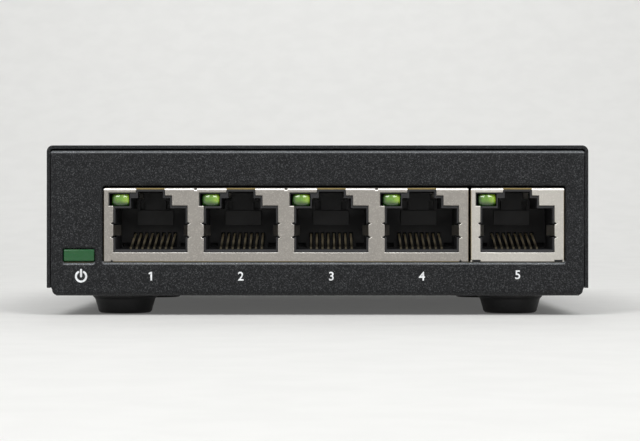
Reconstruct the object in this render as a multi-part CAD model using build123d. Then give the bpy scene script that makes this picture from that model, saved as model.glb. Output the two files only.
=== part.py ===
from build123d import *
import math
import os

# A five-port desktop network switch. Millimetres. The origin is on the surface that the feet
# stand on, under the middle of the case: +X to the right seen from the sockets, +Y to the rear,
# +Z up. Each function returns one piece, or one group of alike pieces.

# ---- Case -----------------------------------------------------------------------------------
case_depth = 101.0
case_height = 26.1           # underside of the tray to the top of the cover
foot_height = 3.45
left_margin = 2.8            # case side to the power window
window_spacing = 1.3         # power window to the socket window
right_margin = 4.0           # socket window to the case side
tray_sheet = 0.8
tray_bend = 1.0              # outside radius
tray_flange = 7.0            # height of the tray's side flanges
tray_lip = 5.0               # depth of the lips turned in at the top of the two panels
corner_relief = 2.0          # gap between a panel and the end of a side flange
corner_cut = (0.9, 1.5)      # across and up, at the panels' lower corners
cover_sheet = 0.6
cover_bend = 1.1             # outside radius
cover_gap = 0.12             # air between the cover and the tray
cover_setback = 0.25         # the cover's ends lie this far inside the panels' faces
cover_skirt = 1.35           # the cover's sides end this far above the tray's underside
hook_width = 10.0            # tongues under the cover's top that hook the front lip
hook_tip = 1.6               # front face to their tips
hook_clearance = 0.6         # lip to the start of their crank
hook_crank = 1.6
hook_weld = 5.8              # length held against the cover
hook_bend = 0.5
window_bevel = 0.3           # eased outer edge of the front windows
window_corner = 0.5
merge = 0.1                  # forms that are fused, or cut through each other, overlap by this

# ---- Openings in the case ---------------------------------------------------------------------
vent_count = 11
vent_width = 2.0
vent_length = 11.0
vent_pitch = 4.5
vent_front = 32.0            # front face to the first slot
vent_base = 7.5              # tray's underside to the bottom of the slots
keyhole_spacing = 44.0
keyhole_radius = 4.0         # entry, passes the head of a wall screw
keyhole_slot = 1.9           # half width of the neck that holds its shank
keyhole_travel = 6.5         # entry centre to neck centre
lock_slot = (7.0, 3.0)
lock_corner = 0.8
lock_inset = 12.0            # case side to the middle of the slot
lock_height = 12.5

# ---- Feet and fasteners -----------------------------------------------------------------------
foot_top_radius = 5.8
foot_sole_radius = 4.75
foot_ease = 0.8              # bevel round the sole
foot_inset = 12.5            # case side and panel faces to the feet's centres
screw_radius = 1.5           # M3
screw_gap = 0.05             # shank to hole
cover_screw_head = 2.7       # countersunk head, radius at the cover's face
cover_screw_length = 5.0
cover_screw_inset = 12.5     # rear face to the screws
cover_screw_height = 12.0
ear_half_width = 5.5
board_screw_head = 2.8
board_screw_head_height = 1.9
board_screw_length = 4.6
standoff_width = 5.5         # across the flats
standoff_side_inset = 4.6    # board edge to the standoffs' centres
standoff_setback = 64.0      # front face to the standoffs; the sockets hold the board's front

# ---- Circuit board ----------------------------------------------------------------------------
board_thickness = 1.6
board_rise = 3.48            # tray floor to the board's underside
board_clearance = 0.55       # board edge to the tray
board_corner = 1.0
lead_hole_gap = 0.12         # lead to the wall of its hole
tail_length = 1.1            # leads stand out this far below the board

# ---- Sockets ----------------------------------------------------------------------------------
ganged_ports = 4
port_pitch = 15.7
jack_side = 8.1              # outermost port's centre to the shield's side
jack_depth = 18.5
jack_height = 12.94
jack_recess = 0.2            # shield's face behind the front panel's face
block_gap = 0.4              # between the ganged block and the single one
block_clearance = 0.2        # shield to the sides of the window
window_above = 0.3           # shield to the top of the window
window_below = 0.12
shield_sheet = 0.25
shield_bend = 0.35           # bevel that stands for the tight outer bends
shield_leg = (1.3, 3.0)      # width, and length below the board's top face
shield_leg_setback = (4.0, 14.0)
mold_gap = 0.04              # between a moulding and what it sits in
part_line_slit = 0.5         # slits in the top bend between ganged ports
corner_notch = (1.65, 0.3)   # cut out of the single shield's lower front corners
edge_notch = (0.44, 0.3)     # vee in the ganged shield's lower front edge: width and height
edge_notch_inset = 1.4       # shield's side to the middle of the vee

# Outline of one port, across from its centre and up from the board's top face
port_half = 6.1
port_floor = 2.18
port_shoulder = 9.29
step_half = 3.4
step_top = 11.04
latch_half = 2.18
latch_top = 12.19
shield_reveal = 0.31         # the shield's window stands back from the moulding by this at
head_reveal = 0.44           # its sides, by this at its top
sill_reveal = 0.52           # and by this below the sill
latch_lip = 1.7              # thickness of the front wall that the plug's latch hooks behind
sill_depth = 1.25            # thickness of the moulded sill in front of the contacts
lead_in = 0.3                # chamfer round the mouth
plug_stop = 11.0             # front face to the wall that the plug's nose meets
housing_depth = 15.0
insert_depth = 15.4
tab_base = 4.26              # ground tab's lower and upper notches
tab_top = 6.66
tab_notch = 0.3              # half the height of a notch
tab_notch_reach = 0.42       # and how far it runs into the shield
tab_straight = 1.9           # the ground tab runs straight back this far,
tab_crest = 4.6              # bows furthest into the port here,
tab_length = 6.4             # and ends here
tab_reach = 0.9              # depth of the bow
tab_recess = 0.5             # room for the tab, outwards and behind its end

# ---- Contacts ---------------------------------------------------------------------------------
contact_count = 8
contact_pitch = 1.016
contact_width = 0.36
contact_sheet = 0.3
fold_corner = 0.45           # the fold's upper corner is cut back this far
fold_front = 1.75            # front face to the wire's foremost line
fold_reach = 0.7             # foremost line to the hinge line
hinge_rise = 0.27            # hinge line above the port floor
finger_angle = 15.0
finger_bend_reach = 8.4      # hinge line to the bend near the tips
finger_tip_reach = 9.6
finger_tip_rise = 0.05
hinge_gap = 0.08             # hinge line to the end of the fixed wire
wire_run = 0.9               # height of the runs under the port floor
tongue_base = 1.05
insert_foot = 0.9            # width of the insert's feet on the board
tail_rows = (12.4, 14.4)     # depth of the two rows of solder tails
slot_width = 0.66            # comb slots
slot_base = 0.3              # above the port floor
slot_top = 5.1
slot_depth = 1.9
slope_top = 7.75             # the comb's face slopes up to here
slope_depth = 0.9            # and back by this, to the wall above it
plate_half = 3.2             # raised plate in the middle of the back wall
plate_base = 6.4
plate_top = 8.95
plate_rise = 0.55
hollow_inner = 1.85          # hollows above the plate, across from the port's centre
hollow_outer = 2.75
hollow_wall = 0.2            # left below, above and outside the hollows
hollow_depth = 0.8
corner_inner = 4.5           # hollows beside the comb, across from the port's centre
corner_lift = 0.3            # above the port floor
corner_height = 0.7
corner_depth = 1.5

# ---- Indicators -------------------------------------------------------------------------------
led_width = 3.0
led_height = 2.0
led_left = 6.75              # port centre to the lens's left side
led_base = 9.7
led_length = 5.2
led_dome = 0.4
led_pocket_gap = 0.13
led_shade = 0.35             # dark gap left beside the lens
led_reveal = 0.3             # the shield's window stands above the lens by this
led_lead = 0.4
led_lead_spacing = 1.3
led_lead_back = 16.8
lens_width = 5.3
lens_height = 2.08
lens_gap = 0.15
lens_lift = 0.1              # lens above the board's top face
lens_recess = 0.15
lens_depth = 4.6
pipe_width = 3.4
pipe_depth = 3.0
peg_width = 1.1
peg_spacing = 3.0
power_led_size = (3.0, 1.2, 1.4)

# ---- Power inlet ------------------------------------------------------------------------------
inlet_centre = -28.0         # across from the middle of the case
inlet_width = 9.0
inlet_height = 11.0
inlet_depth = 14.2
inlet_arch = 3.0
inlet_bore = 3.2
inlet_bore_depth = 9.5
inlet_axis_height = 6.4      # above the board
inlet_recess = 0.2
inlet_window_gap = 0.35
inlet_pin_radius = 1.05
inlet_pin_recess = 0.6
inlet_rivet_radius = 0.8
inlet_strip = 0.4
inlet_tail_width = 2.4
sleeve_slot = (2.0, 2.0)     # the sleeve spring's slot: face to its front end, and height
sleeve_spring = (0.6, 1.6)   # slot's front end to the spring's, and the spring's height
sleeve_spring_reach = 0.5    # bore's wall to the spring's nose
sleeve_strip = (1.0, 1.8)    # slot's front end to the strip's, and the strip's height over the axis
sleeve_strip_lift = 0.4      # board to the strip

# ---- Components on the board ------------------------------------------------------------------
package_bevel = 1 / 8        # share of a package's height that its upper edges lose
transformer_spacing = 3.0    # air between neighbouring transformers
transformer_depth = 7.6
transformer_height = 5.6
transformer_leads = 8        # along each side
transformer_lead_pitch = 1.27
transformer_lead_span = 10.2
transformer_lead = (0.4, 0.25)
transformer_gap = 3.4        # shield's back to the lead tips
chip_size = (12.0, 12.0, 0.95)
chip_place = (4.0, 49.0)     # across from the middle, and back from the front face
chip_spacing = 3.5           # chip to the crystal and the memory beside it
chip_dimple = (0.5, 0.1)     # radius and depth
chip_dimple_inset = 1.5
crystal_size = (11.0, 4.4, 3.4)
flash_size = (5.0, 4.0, 1.5)
inductor_size = (7.2, 7.2, 3.8)
regulator_size = (6.5, 6.1, 2.3)
input_can = (4.0, 8.2)       # radius and height
output_can = (3.15, 6.0)
can_base_margin = 0.15
can_base_height = 1.2
can_base_cut = 1.0
fuse_size = (3.2, 1.6, 0.9)
diode_size = (4.4, 2.7, 2.1)
power_row_inset = 11.0       # rear face to the middle of the row of power parts
power_spacing = 2.3          # between neighbours in that row
fuse_spacing = 3.4           # fuse to the diode behind it
passive_size = (1.6, 0.8, 0.7)
passive_pitch = 3.0          # between the small capacitors along the chip's sides
passives_per_side = 4
passive_gap = 1.6            # chip, or transformer's leads, to the small parts beside them
resistor_spacing = 6.0       # between a port's two resistors

# ---- Places worked out from the sizes above ---------------------------------------------------
ganged_width = (ganged_ports - 1) * port_pitch + 2 * jack_side
single_width = 2 * jack_side
window_width = ganged_width + block_gap + single_width + 2 * block_clearance
power_window_width = lens_width + 2 * lens_gap
case_width = left_margin + power_window_width + window_spacing + window_width + right_margin

front = -case_depth / 2
rear = case_depth / 2
right = case_width / 2
floor = foot_height                          # the tray's underside
case_top = floor + case_height
panel_top = case_top - cover_sheet - cover_gap
panel_half = right - cover_sheet - cover_gap
tray_floor = floor + tray_sheet
board_under = tray_floor + board_rise
board_top = board_under + board_thickness
board_half = panel_half - tray_sheet - board_clearance
board_front = front + tray_sheet + board_clearance
board_rear = rear - tray_sheet - board_clearance

window_right = right - right_margin
window_left = window_right - window_width
single_centre = window_right - block_clearance - jack_side
ganged_right = window_right - block_clearance - single_width - block_gap
ganged_centre = ganged_right - ganged_width / 2
ganged_offsets = [(i - (ganged_ports - 1) / 2) * port_pitch for i in range(ganged_ports)]
port_centres = [ganged_centre + offset for offset in ganged_offsets] + [single_centre]
jack_front = front + jack_recess
jack_back = jack_front + jack_depth
jack_top = board_top + jack_height
mold_front = jack_front + shield_sheet + mold_gap

hinge_y = jack_front + fold_front + fold_reach
hinge_z = board_top + port_floor + hinge_rise
lens_centre = window_left - window_spacing - power_window_width / 2
contact_offsets = [(i - (contact_count - 1) / 2) * contact_pitch for i in range(contact_count)]
foot_places = {
    "foot_front_left": (foot_inset - right, front + foot_inset),
    "foot_front_right": (right - foot_inset, front + foot_inset),
    "foot_rear_left": (foot_inset - right, rear - foot_inset),
    "foot_rear_right": (right - foot_inset, rear - foot_inset),
}
standoff_x = board_half - standoff_side_inset
standoff_places = [(x, front + standoff_setback) for x in (-standoff_x, standoff_x)]
transformer_y = jack_back + transformer_gap + transformer_lead_span / 2
chip_x, chip_y = chip_place[0], front + chip_place[1]
inlet_face = rear - inlet_recess
inlet_back = inlet_face - inlet_depth
inlet_z = board_top + inlet_axis_height


# ---- Helpers ----------------------------------------------------------------------------------
def block(x0, x1, y0, y1, z0, z1):
    """A rectangular solid between two opposite corners."""
    return Pos((x0 + x1) / 2, (y0 + y1) / 2, (z0 + z1) / 2) * Box(x1 - x0, y1 - y0, z1 - z0)


def outline(points, radius=0.0):
    """A flat face through the points, its corners rounded where a radius is given."""
    if radius:
        return make_face(FilletPolyline(*points, radius=radius, close=True))
    return make_face(Polyline(*points, close=True))


def rectangle(x0, x1, y0, y1, radius=0.0):
    """A flat rectangle, its corners rounded where a radius is given."""
    return outline([(x0, y0), (x1, y0), (x1, y1), (x0, y1)], radius)


def strip(points, radius, thickness):
    """The section of a bent sheet whose middle line follows the points."""
    return trace(FilletPolyline(*points, radius=radius), line_width=thickness)


def wire_section(points, thickness):
    """The section of a wire whose middle line follows the points, mitred where it turns."""
    line = [Vector(*point) for point in points]
    runs = [(after - before).normalized() for before, after in zip(line, line[1:])]
    near = []
    far = []
    for i, point in enumerate(line):
        before = runs[max(i - 1, 0)]
        after = runs[min(i, len(runs) - 1)]
        across = (before + after).normalized()
        reach = thickness / 2 / across.dot(after)
        near.append((point.X - across.Y * reach, point.Y + across.X * reach))
        far.append((point.X + across.Y * reach, point.Y - across.X * reach))
    return outline(near + far[::-1])


def along_x(section, x0, x1):
    """A (y, z) section run from x0 to x1."""
    return extrude(Plane.YZ.offset(x0) * section, amount=x1 - x0)


def along_y(section, y0, y1):
    """An (x, z) section run from y0 to y1."""
    return extrude(Plane.XZ.offset(-y1) * section, amount=y1 - y0)


def along_z(section, z0, z1):
    """An (x, y) section run from z0 to z1."""
    return extrude(Plane.XY.offset(z0) * section, amount=z1 - z0)


def post(x, y, z0, z1, radius):
    """An upright round post."""
    return Pos(x, y, (z0 + z1) / 2) * Cylinder(radius, z1 - z0)


def edges_facing(shape, y):
    """The edges that lie in the upright plane at y."""
    return shape.edges().filter_by_position(Axis.Y, y - 0.001, y + 0.001)


# ---- Case -------------------------------------------------------------------------------------
def bottom_tray():
    """Floor with the front and rear panels and low side flanges, folded from one sheet."""
    half = tray_sheet / 2
    bend = tray_bend - half
    panels = strip([(front + tray_lip, panel_top - half), (front + half, panel_top - half),
                    (front + half, floor + half), (rear - half, floor + half),
                    (rear - half, panel_top - half), (rear - tray_lip, panel_top - half)],
                   bend, tray_sheet)
    tray = along_x(panels, -panel_half, panel_half)
    flange_top = floor + tray_flange
    sides = strip([(half - panel_half, flange_top), (half - panel_half, floor + half),
                   (panel_half - half, floor + half), (panel_half - half, flange_top)],
                  bend, tray_sheet)
    across, up = corner_cut
    crop = cover_bend - cover_sheet
    ear_y = rear - cover_screw_inset
    ear_top = floor + cover_screw_height + ear_half_width
    ear_ease = ear_half_width / 2
    ear = outline([(ear_y - ear_half_width, floor + tray_bend),
                   (ear_y + ear_half_width, floor + tray_bend),
                   (ear_y + ear_half_width, ear_top - ear_ease),
                   (ear_y + ear_half_width - ear_ease, ear_top),
                   (ear_y - ear_half_width + ear_ease, ear_top),
                   (ear_y - ear_half_width, ear_top - ear_ease)])
    for side in (-1, 1):
        inner, outer = sorted((side * (panel_half - tray_bend), side * panel_half))
        tray -= block(inner, outer, front + tray_bend, rear - tray_bend, floor, tray_floor)
        corner = outline([(side * (panel_half - across), floor),
                          (side * panel_half, floor), (side * panel_half, floor + up)])
        corner += outline([(side * (panel_half - crop), panel_top),
                           (side * panel_half, panel_top), (side * panel_half, panel_top - crop)])
        tray -= along_y(corner, front, front + tray_lip)
        tray -= along_y(corner, rear - tray_lip, rear)
        tray += along_x(ear, *sorted((side * (panel_half - tray_sheet), side * panel_half)))
    tray += along_y(sides, front + corner_relief, rear - corner_relief)
    return cut_rear_panel(cut_floor(cut_front_panel(tray)))


def cut_front_panel(tray):
    """The power window and the one window that all sockets share, their outer edges eased."""
    windows = [
        (lens_centre - power_window_width / 2, lens_centre + power_window_width / 2,
         board_top + lens_lift - 2 * lens_gap, board_top + lens_lift + lens_height + lens_gap),
        (window_left, window_right, board_top - window_below, jack_top + window_above),
    ]
    for x0, x1, z0, z1 in windows:
        tray -= along_y(rectangle(x0, x1, z0, z1, window_corner), front, front + tray_sheet)
    rims = [edge for edge in edges_facing(tray, front)
            if any(x0 - merge < edge.center().X < x1 + merge
                   and z0 - merge < edge.center().Z < z1 + merge for x0, x1, z0, z1 in windows)]
    return chamfer(rims, window_bevel)


def cut_floor(tray):
    """Two keyholes for wall screws, and the cover screws' holes in the ears."""
    for side in (-1, 1):
        keyhole = Pos(side * keyhole_spacing / 2, 0) * Circle(keyhole_radius)
        keyhole += Pos(side * keyhole_spacing / 2, keyhole_travel) * Circle(keyhole_slot)
        keyhole += Pos(side * keyhole_spacing / 2, keyhole_travel / 2) * Rectangle(
            2 * keyhole_slot, keyhole_travel)
        tray -= along_z(keyhole, floor, tray_floor)
        tray -= cover_screw_form(side, screw_gap)
    return tray


def cut_rear_panel(tray):
    """The window of the power inlet and the slot for a cable lock."""
    inlet = rectangle(inlet_centre - inlet_width / 2 - inlet_window_gap,
                      inlet_centre + inlet_width / 2 + inlet_window_gap,
                      board_top - inlet_window_gap, board_top + inlet_height + inlet_window_gap)
    tray -= along_y(inlet, rear - tray_sheet, rear)
    length, width = lock_slot
    lock_x = right - lock_inset
    lock = rectangle(lock_x - length / 2, lock_x + length / 2,
                     floor + lock_height - width / 2, floor + lock_height + width / 2, lock_corner)
    return tray - along_y(lock, rear - tray_sheet, rear)


def cover_screw_form(side, gap=0.0):
    """Cone and shank of a cover screw along X, grown by the gap to cut its hole."""
    tip = right - cover_screw_length
    cone_end = panel_half
    profile = outline([(tip, 0), (right, 0), (right, cover_screw_head + gap),
                       (cone_end, screw_radius + gap), (tip, screw_radius + gap)])
    form = revolve(Plane.XY * profile, Axis.X, 360)
    if side < 0:
        form = Rot(0, 0, 180) * form
    return Pos(0, rear - cover_screw_inset, floor + cover_screw_height) * form


def top_cover():
    """Top and two sides folded from one sheet, with vents and tongues that hook the front lip."""
    half = cover_sheet / 2
    skirt = floor + cover_skirt
    section = strip([(half - right, skirt), (half - right, case_top - half),
                     (right - half, case_top - half), (right - half, skirt)],
                    cover_bend - half, cover_sheet)
    cover = along_y(section, front + cover_setback, rear - cover_setback)
    vents = Sketch()
    for i in range(vent_count):
        centre = (front + vent_front + i * vent_pitch, floor + vent_base + vent_length / 2)
        vents += Pos(*centre) * Rectangle(vent_width, vent_length)
    for side in (-1, 1):
        cover -= along_x(vents, *sorted((side * (right - cover_sheet), side * right)))
        cover -= cover_screw_form(side, screw_gap)
    hook = panel_top - tray_sheet - cover_gap - half
    inside = case_top - cover_sheet - half
    crank = front + tray_lip + hook_clearance
    root = crank + hook_crank
    tongue = strip([(front + hook_tip, hook), (crank, hook), (root, inside),
                    (root + hook_weld, inside)], hook_bend, cover_sheet)
    for centre in (-right / 2, right / 2):
        cover += along_x(tongue, centre - hook_width / 2, centre + hook_width / 2)
    return cover


def cover_screws():
    """The two countersunk screws that hold the cover's sides to the tray."""
    return [cover_screw_form(side) for side in (-1, 1)]


def foot(x, y):
    """A tapered rubber foot with an eased sole."""
    profile = outline([(0, 0), (foot_sole_radius - foot_ease, 0), (foot_sole_radius, foot_ease),
                       (foot_top_radius, foot_height), (0, foot_height)])
    return Pos(x, y, 0) * revolve(Plane.XZ * profile, Axis.Z, 360)


# ---- Board and its fixings --------------------------------------------------------------------
def board_standoffs():
    """Six-sided posts on the tray floor, tapped for the board screws."""
    hexagon = RegularPolygon(standoff_width / 2, 6, major_radius=False)
    hexagon -= Circle(screw_radius + screw_gap)
    return [along_z(Pos(x, y) * hexagon, tray_floor, board_under) for x, y in standoff_places]


def board_screws():
    """Cheese-head screws through the board into the standoffs."""
    screws = []
    for x, y in standoff_places:
        head = post(x, y, board_top, board_top + board_screw_head_height, board_screw_head)
        screws.append(head + post(x, y, board_top - board_screw_length, board_top, screw_radius))
    return screws


def circuit_board():
    """The board, with holes for its screws and for every lead that passes through it."""
    plan = rectangle(-board_half, board_half, board_front, board_rear, board_corner)
    for x, y in standoff_places:
        plan -= Pos(x, y) * Circle(screw_radius + screw_gap)
    holes = Sketch()
    tail = contact_width + 2 * lead_hole_gap
    for centre in port_centres:
        for i, offset in enumerate(contact_offsets):
            spot = (centre + offset, jack_front + tail_rows[i % 2])
            holes += Pos(*spot) * Rectangle(tail, contact_sheet + 2 * lead_hole_gap)
        for x in led_lead_places(centre):
            lead = led_lead + 2 * lead_hole_gap
            holes += Pos(x, jack_front + led_lead_back) * Rectangle(lead, lead)
    width = shield_leg[0] + 2 * lead_hole_gap
    for x in shield_leg_places():
        for setback in shield_leg_setback:
            holes += Pos(x, jack_front + setback) * Rectangle(shield_sheet + 2 * lead_hole_gap, width)
    for x in (lens_centre - peg_spacing / 2, lens_centre + peg_spacing / 2):
        holes += Pos(x, peg_y()) * Rectangle(peg_width + lead_hole_gap, peg_width + lead_hole_gap)
    for x0, x1, y0, y1 in inlet_tail_places():
        holes += rectangle(x0 - lead_hole_gap, x1 + lead_hole_gap,
                           y0 - lead_hole_gap, y1 + lead_hole_gap)
    return along_z(plan - holes, board_under, board_top)


# ---- Sockets ----------------------------------------------------------------------------------
def port_mouth(gap=0.0):
    """One port's opening in the moulding, shrunk by a gap all round."""
    return outline([
        (gap - port_half, port_floor + gap), (port_half - gap, port_floor + gap),
        (port_half - gap, port_shoulder - gap), (step_half - gap, port_shoulder - gap),
        (step_half - gap, step_top - gap), (latch_half - gap, step_top - gap),
        (latch_half - gap, latch_top - gap), (gap - latch_half, latch_top - gap),
        (gap - latch_half, step_top - gap), (gap - step_half, step_top - gap),
        (gap - step_half, port_shoulder - gap), (gap - port_half, port_shoulder - gap)])


def shield_mouth():
    """One port's window in the shield, with the indicator's window joined to its left."""
    half = port_half + shield_reveal
    shoulder = port_shoulder + head_reveal
    step = step_top + head_reveal
    left = -led_left - led_shade - led_pocket_gap
    top = led_base + led_height + led_reveal
    window = outline([
        (-half, port_floor - sill_reveal), (half, port_floor - sill_reveal),
        (half, shoulder), (step_half + shield_reveal, shoulder),
        (step_half + shield_reveal, step), (latch_half + shield_reveal, step),
        (latch_half + shield_reveal, jack_height - shield_bend),
        (-latch_half - shield_reveal, jack_height - shield_bend),
        (-latch_half - shield_reveal, top), (left, top), (left, shoulder), (-half, shoulder)])
    for side in (-1, 1):
        for height in (tab_base, tab_top):
            window += outline([(side * (half - merge), height - tab_notch),
                               (side * (half + tab_notch_reach), height),
                               (side * (half - merge), height + tab_notch)])
    return window


def ground_tab(side):
    """A spring strip turned back from the shield's window, bowed towards the plug."""
    inner = port_half + shield_reveal
    middle = inner + shield_sheet / 2
    bow = wire_section([(side * middle, jack_front),
                        (side * middle, jack_front + tab_straight),
                        (side * (middle - tab_reach), jack_front + tab_crest),
                        (side * (middle - tab_reach / 3), jack_front + tab_length)], shield_sheet)
    return along_z(bow, board_top + tab_base + tab_notch, board_top + tab_top - tab_notch)


def shield_leg_places():
    """Where the side walls' solder legs stand, across the case."""
    inset = shield_sheet / 2
    ganged_left = ganged_right - ganged_width
    return [ganged_left + inset, ganged_right - inset,
            single_centre - jack_side + inset, single_centre + jack_side - inset]


def base_relief(half, ganged):
    """Cuts in the shield's lower front edge: a vee near each end, or the corners."""
    cuts = Sketch()
    for side in (-1, 1):
        if ganged:
            width, height = edge_notch
            middle = side * (half - edge_notch_inset)
            cuts += outline([(middle - width / 2, 0), (middle + width / 2, 0), (middle, height)])
        else:
            width, height = corner_notch
            cuts += rectangle(*sorted((side * (half - width), side * half)), 0, height)
    return cuts


def jack_shield(centre, offsets):
    """Folded steel shell round one socket block, open below, with a window for each port."""
    half = (offsets[-1] - offsets[0]) / 2 + jack_side
    shell = block(centre - half, centre + half, jack_front, jack_back, board_top, jack_top)
    bends = shell.edges().filter_by(Axis.Z).group_by(Axis.Y)[-1]
    shell = chamfer(bends + shell.edges().group_by(Axis.Z)[-1], shield_bend)
    inside = block(centre - half + shield_sheet, centre + half - shield_sheet,
                   jack_front + shield_sheet, jack_back - shield_sheet,
                   board_top, jack_top - shield_sheet)
    shell -= inside
    for offset in offsets:
        window = Pos(centre + offset, board_top) * shield_mouth()
        shell -= along_y(window, jack_front, jack_front + shield_sheet)
    for offset in offsets:
        for side in (-1, 1):
            shell += Pos(centre + offset, 0, 0) * ground_tab(side)
    for offset in offsets[:-1]:
        seam = centre + offset + port_pitch / 2
        shell -= block(seam - part_line_slit / 2, seam + part_line_slit / 2,
                       jack_front, jack_front + shield_bend, jack_top - shield_bend, jack_top)
    relief = Pos(centre, board_top) * base_relief(half, len(offsets) > 1)
    shell -= along_y(relief, jack_front, jack_front + shield_bend)
    leg_width, leg_length = shield_leg
    for side in (-1, 1):
        inner, outer = sorted((side * (half - shield_sheet), side * half))
        for setback in shield_leg_setback:
            middle = jack_front + setback
            shell += block(centre + inner, centre + outer, middle - leg_width / 2,
                           middle + leg_width / 2, board_top - leg_length, board_top + merge)
    return shell


def jack_housing(centre, offsets):
    """Moulded frame of one socket block: sill, walls between ports, latch stops, light pockets."""
    half = (offsets[-1] - offsets[0]) / 2 + jack_side - shield_sheet - mold_gap
    top = jack_top - shield_sheet - mold_gap
    frame = block(centre - half, centre + half, mold_front, jack_front + housing_depth,
                  board_top, top)
    for offset in offsets:
        x = centre + offset
        mouth = Pos(x, board_top) * port_mouth()
        frame -= along_y(mouth, mold_front, jack_front + housing_depth)
        sill_back = mold_front + sill_depth
        frame -= block(x - port_half, x + port_half, sill_back, jack_front + housing_depth,
                       board_top, board_top + port_floor)
        frame -= block(x - step_half, x + step_half, jack_front + latch_lip,
                       jack_front + housing_depth, board_top + step_top - merge,
                       board_top + latch_top)
        for side in (-1, 1):
            inner, outer = sorted((side * (port_half - merge),
                                   side * (port_half + shield_reveal + tab_recess)))
            frame -= block(x + inner, x + outer, mold_front, jack_front + tab_length + tab_recess,
                           board_top + tab_base, board_top + tab_top)
        frame -= light_pocket(x)
    mouths = [edge for edge in edges_facing(frame, mold_front)
              if any(abs(edge.center().X - centre - offset) < port_half
                     and abs(edge.center().Z - board_top - port_floor) < merge
                     for offset in offsets)]
    return chamfer(mouths, lead_in)


def light_pocket(x):
    """Pocket for one indicator, and the channel that its leads run back in."""
    left = x - led_left
    z0 = board_top + led_base
    pocket = block(left - led_shade, left + led_width + led_pocket_gap, mold_front,
                   jack_front + led_length + 2 * led_pocket_gap,
                   z0 - led_pocket_gap / 2, z0 + led_height + led_pocket_gap)
    lead_half = led_lead / 2 + led_pocket_gap
    middle = left + led_width / 2
    run = z0 + led_height / 2
    channel = block(middle - led_lead_spacing / 2 - lead_half,
                    middle + led_lead_spacing / 2 + lead_half,
                    jack_front + led_length, jack_front + housing_depth,
                    run - lead_half, run + lead_half)
    return pocket + channel


def port_insert(x):
    """Moulding pushed in from behind: the port's floor, its back wall and the contact comb."""
    stop = jack_front + plug_stop
    wall = stop + slope_depth
    back = jack_front + insert_depth
    reach = port_half - mold_gap
    z0 = board_top + tongue_base
    z1 = board_top + port_floor
    nose = jack_front + fold_front + contact_sheet / 2 + mold_gap
    ease = (z1 - z0) / 3
    floor_and_comb = outline([
        (nose, z0), (back, z0), (back, board_top + slope_top), (wall, board_top + slope_top),
        (stop, board_top + slot_top), (stop, z1), (nose + ease, z1), (nose, z1 - ease)])
    body = along_x(floor_and_comb, x - reach, x + reach)
    body += along_y(Pos(x, board_top) * port_mouth(mold_gap), wall, back)
    body += block(x - plate_half, x + plate_half, wall - plate_rise, wall + merge,
                  board_top + plate_base, board_top + plate_top)
    for side in (-1, 1):
        low, high = sorted((side * (port_half - insert_foot), side * reach))
        body += block(x + low, x + high, stop, back, board_top, z0 + merge)
        low, high = sorted((side * hollow_inner, side * hollow_outer))
        body -= block(x + low, x + high, wall, wall + hollow_depth,
                      board_top + plate_top + hollow_wall, board_top + step_top - 2 * hollow_wall)
        low, high = sorted((side * corner_inner, side * (reach - hollow_wall)))
        body -= block(x + low, x + high, stop, stop + corner_depth,
                      z1 + corner_lift, z1 + corner_lift + corner_height)
    for offset in contact_offsets:
        body -= block(x + offset - slot_width / 2, x + offset + slot_width / 2,
                      stop, stop + slot_depth, z1 + slot_base, board_top + slot_top)
    return body


def port_contacts(x):
    """Eight spring fingers that rise from the fold to their tips in the comb."""
    slope = math.radians(finger_angle)
    bend = (hinge_y + finger_bend_reach, hinge_z + finger_bend_reach * math.tan(slope))
    tip = (hinge_y + finger_tip_reach, bend[1] + finger_tip_rise)
    finger = wire_section([(hinge_y, hinge_z), bend, tip], contact_sheet)
    half = contact_width / 2
    return [along_x(finger, x + offset - half, x + offset + half) for offset in contact_offsets]


def port_terminals(x):
    """Eight fixed wires: solder tail, run under the port floor, and fold up to the hinge line."""
    run = board_top + wire_run
    low = board_under - tail_length
    fold = jack_front + fold_front
    start = hinge_y - hinge_gap
    half = contact_width / 2
    wires = []
    for i, offset in enumerate(contact_offsets):
        tail = jack_front + tail_rows[i % 2]
        section = wire_section([(tail, low), (tail, run), (fold, run),
                                (fold, hinge_z - fold_corner),
                                (fold + fold_corner, hinge_z), (start, hinge_z)], contact_sheet)
        wires.append(along_x(section, x + offset - half, x + offset + half))
    return wires


# ---- Indicators -------------------------------------------------------------------------------
def led_lead_places(x):
    """The two leads of one indicator, across the case."""
    middle = x - led_left + led_width / 2
    return middle - led_lead_spacing / 2, middle + led_lead_spacing / 2


def port_led(x):
    """A rectangular indicator with an eased face and two leads down to the board."""
    left = x - led_left
    z0 = board_top + led_base
    lens = block(left, left + led_width, mold_front, jack_front + led_length, z0, z0 + led_height)
    face = edges_facing(lens, mold_front)
    lens = chamfer(face, led_dome)
    middle = z0 + led_height / 2
    back = jack_front + led_lead_back
    lead = wire_section([(jack_front + led_length - merge, middle), (back, middle),
                         (back, board_under - tail_length)], led_lead)
    for place in led_lead_places(x):
        lens += along_x(lead, place - led_lead / 2, place + led_lead / 2)
    return lens


def peg_y():
    """How far back the light pipe's pegs stand."""
    return front + lens_recess + lens_depth - peg_width


def power_light_pipe():
    """Clear lens behind the power window, narrowed to a bar that ends over the indicator."""
    y0 = front + lens_recess
    y1 = y0 + lens_depth
    z0 = board_top + lens_lift
    z1 = z0 + lens_height
    plan = rectangle(lens_centre - lens_width / 2, lens_centre + lens_width / 2, y0, y1)
    plan += outline([(lens_centre - lens_width / 2, y1), (lens_centre + lens_width / 2, y1),
                     (lens_centre + pipe_width / 2, y1 + pipe_depth),
                     (lens_centre - pipe_width / 2, y1 + pipe_depth)])
    pipe = along_z(plan, z0, z1)
    pipe = chamfer(edges_facing(pipe, y0), lens_gap)
    for x in (lens_centre - peg_spacing / 2, lens_centre + peg_spacing / 2):
        peg = Pos(x, peg_y()) * Rectangle(peg_width, peg_width)
        pipe += along_z(peg, board_under, z0 + merge)
    return pipe


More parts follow.
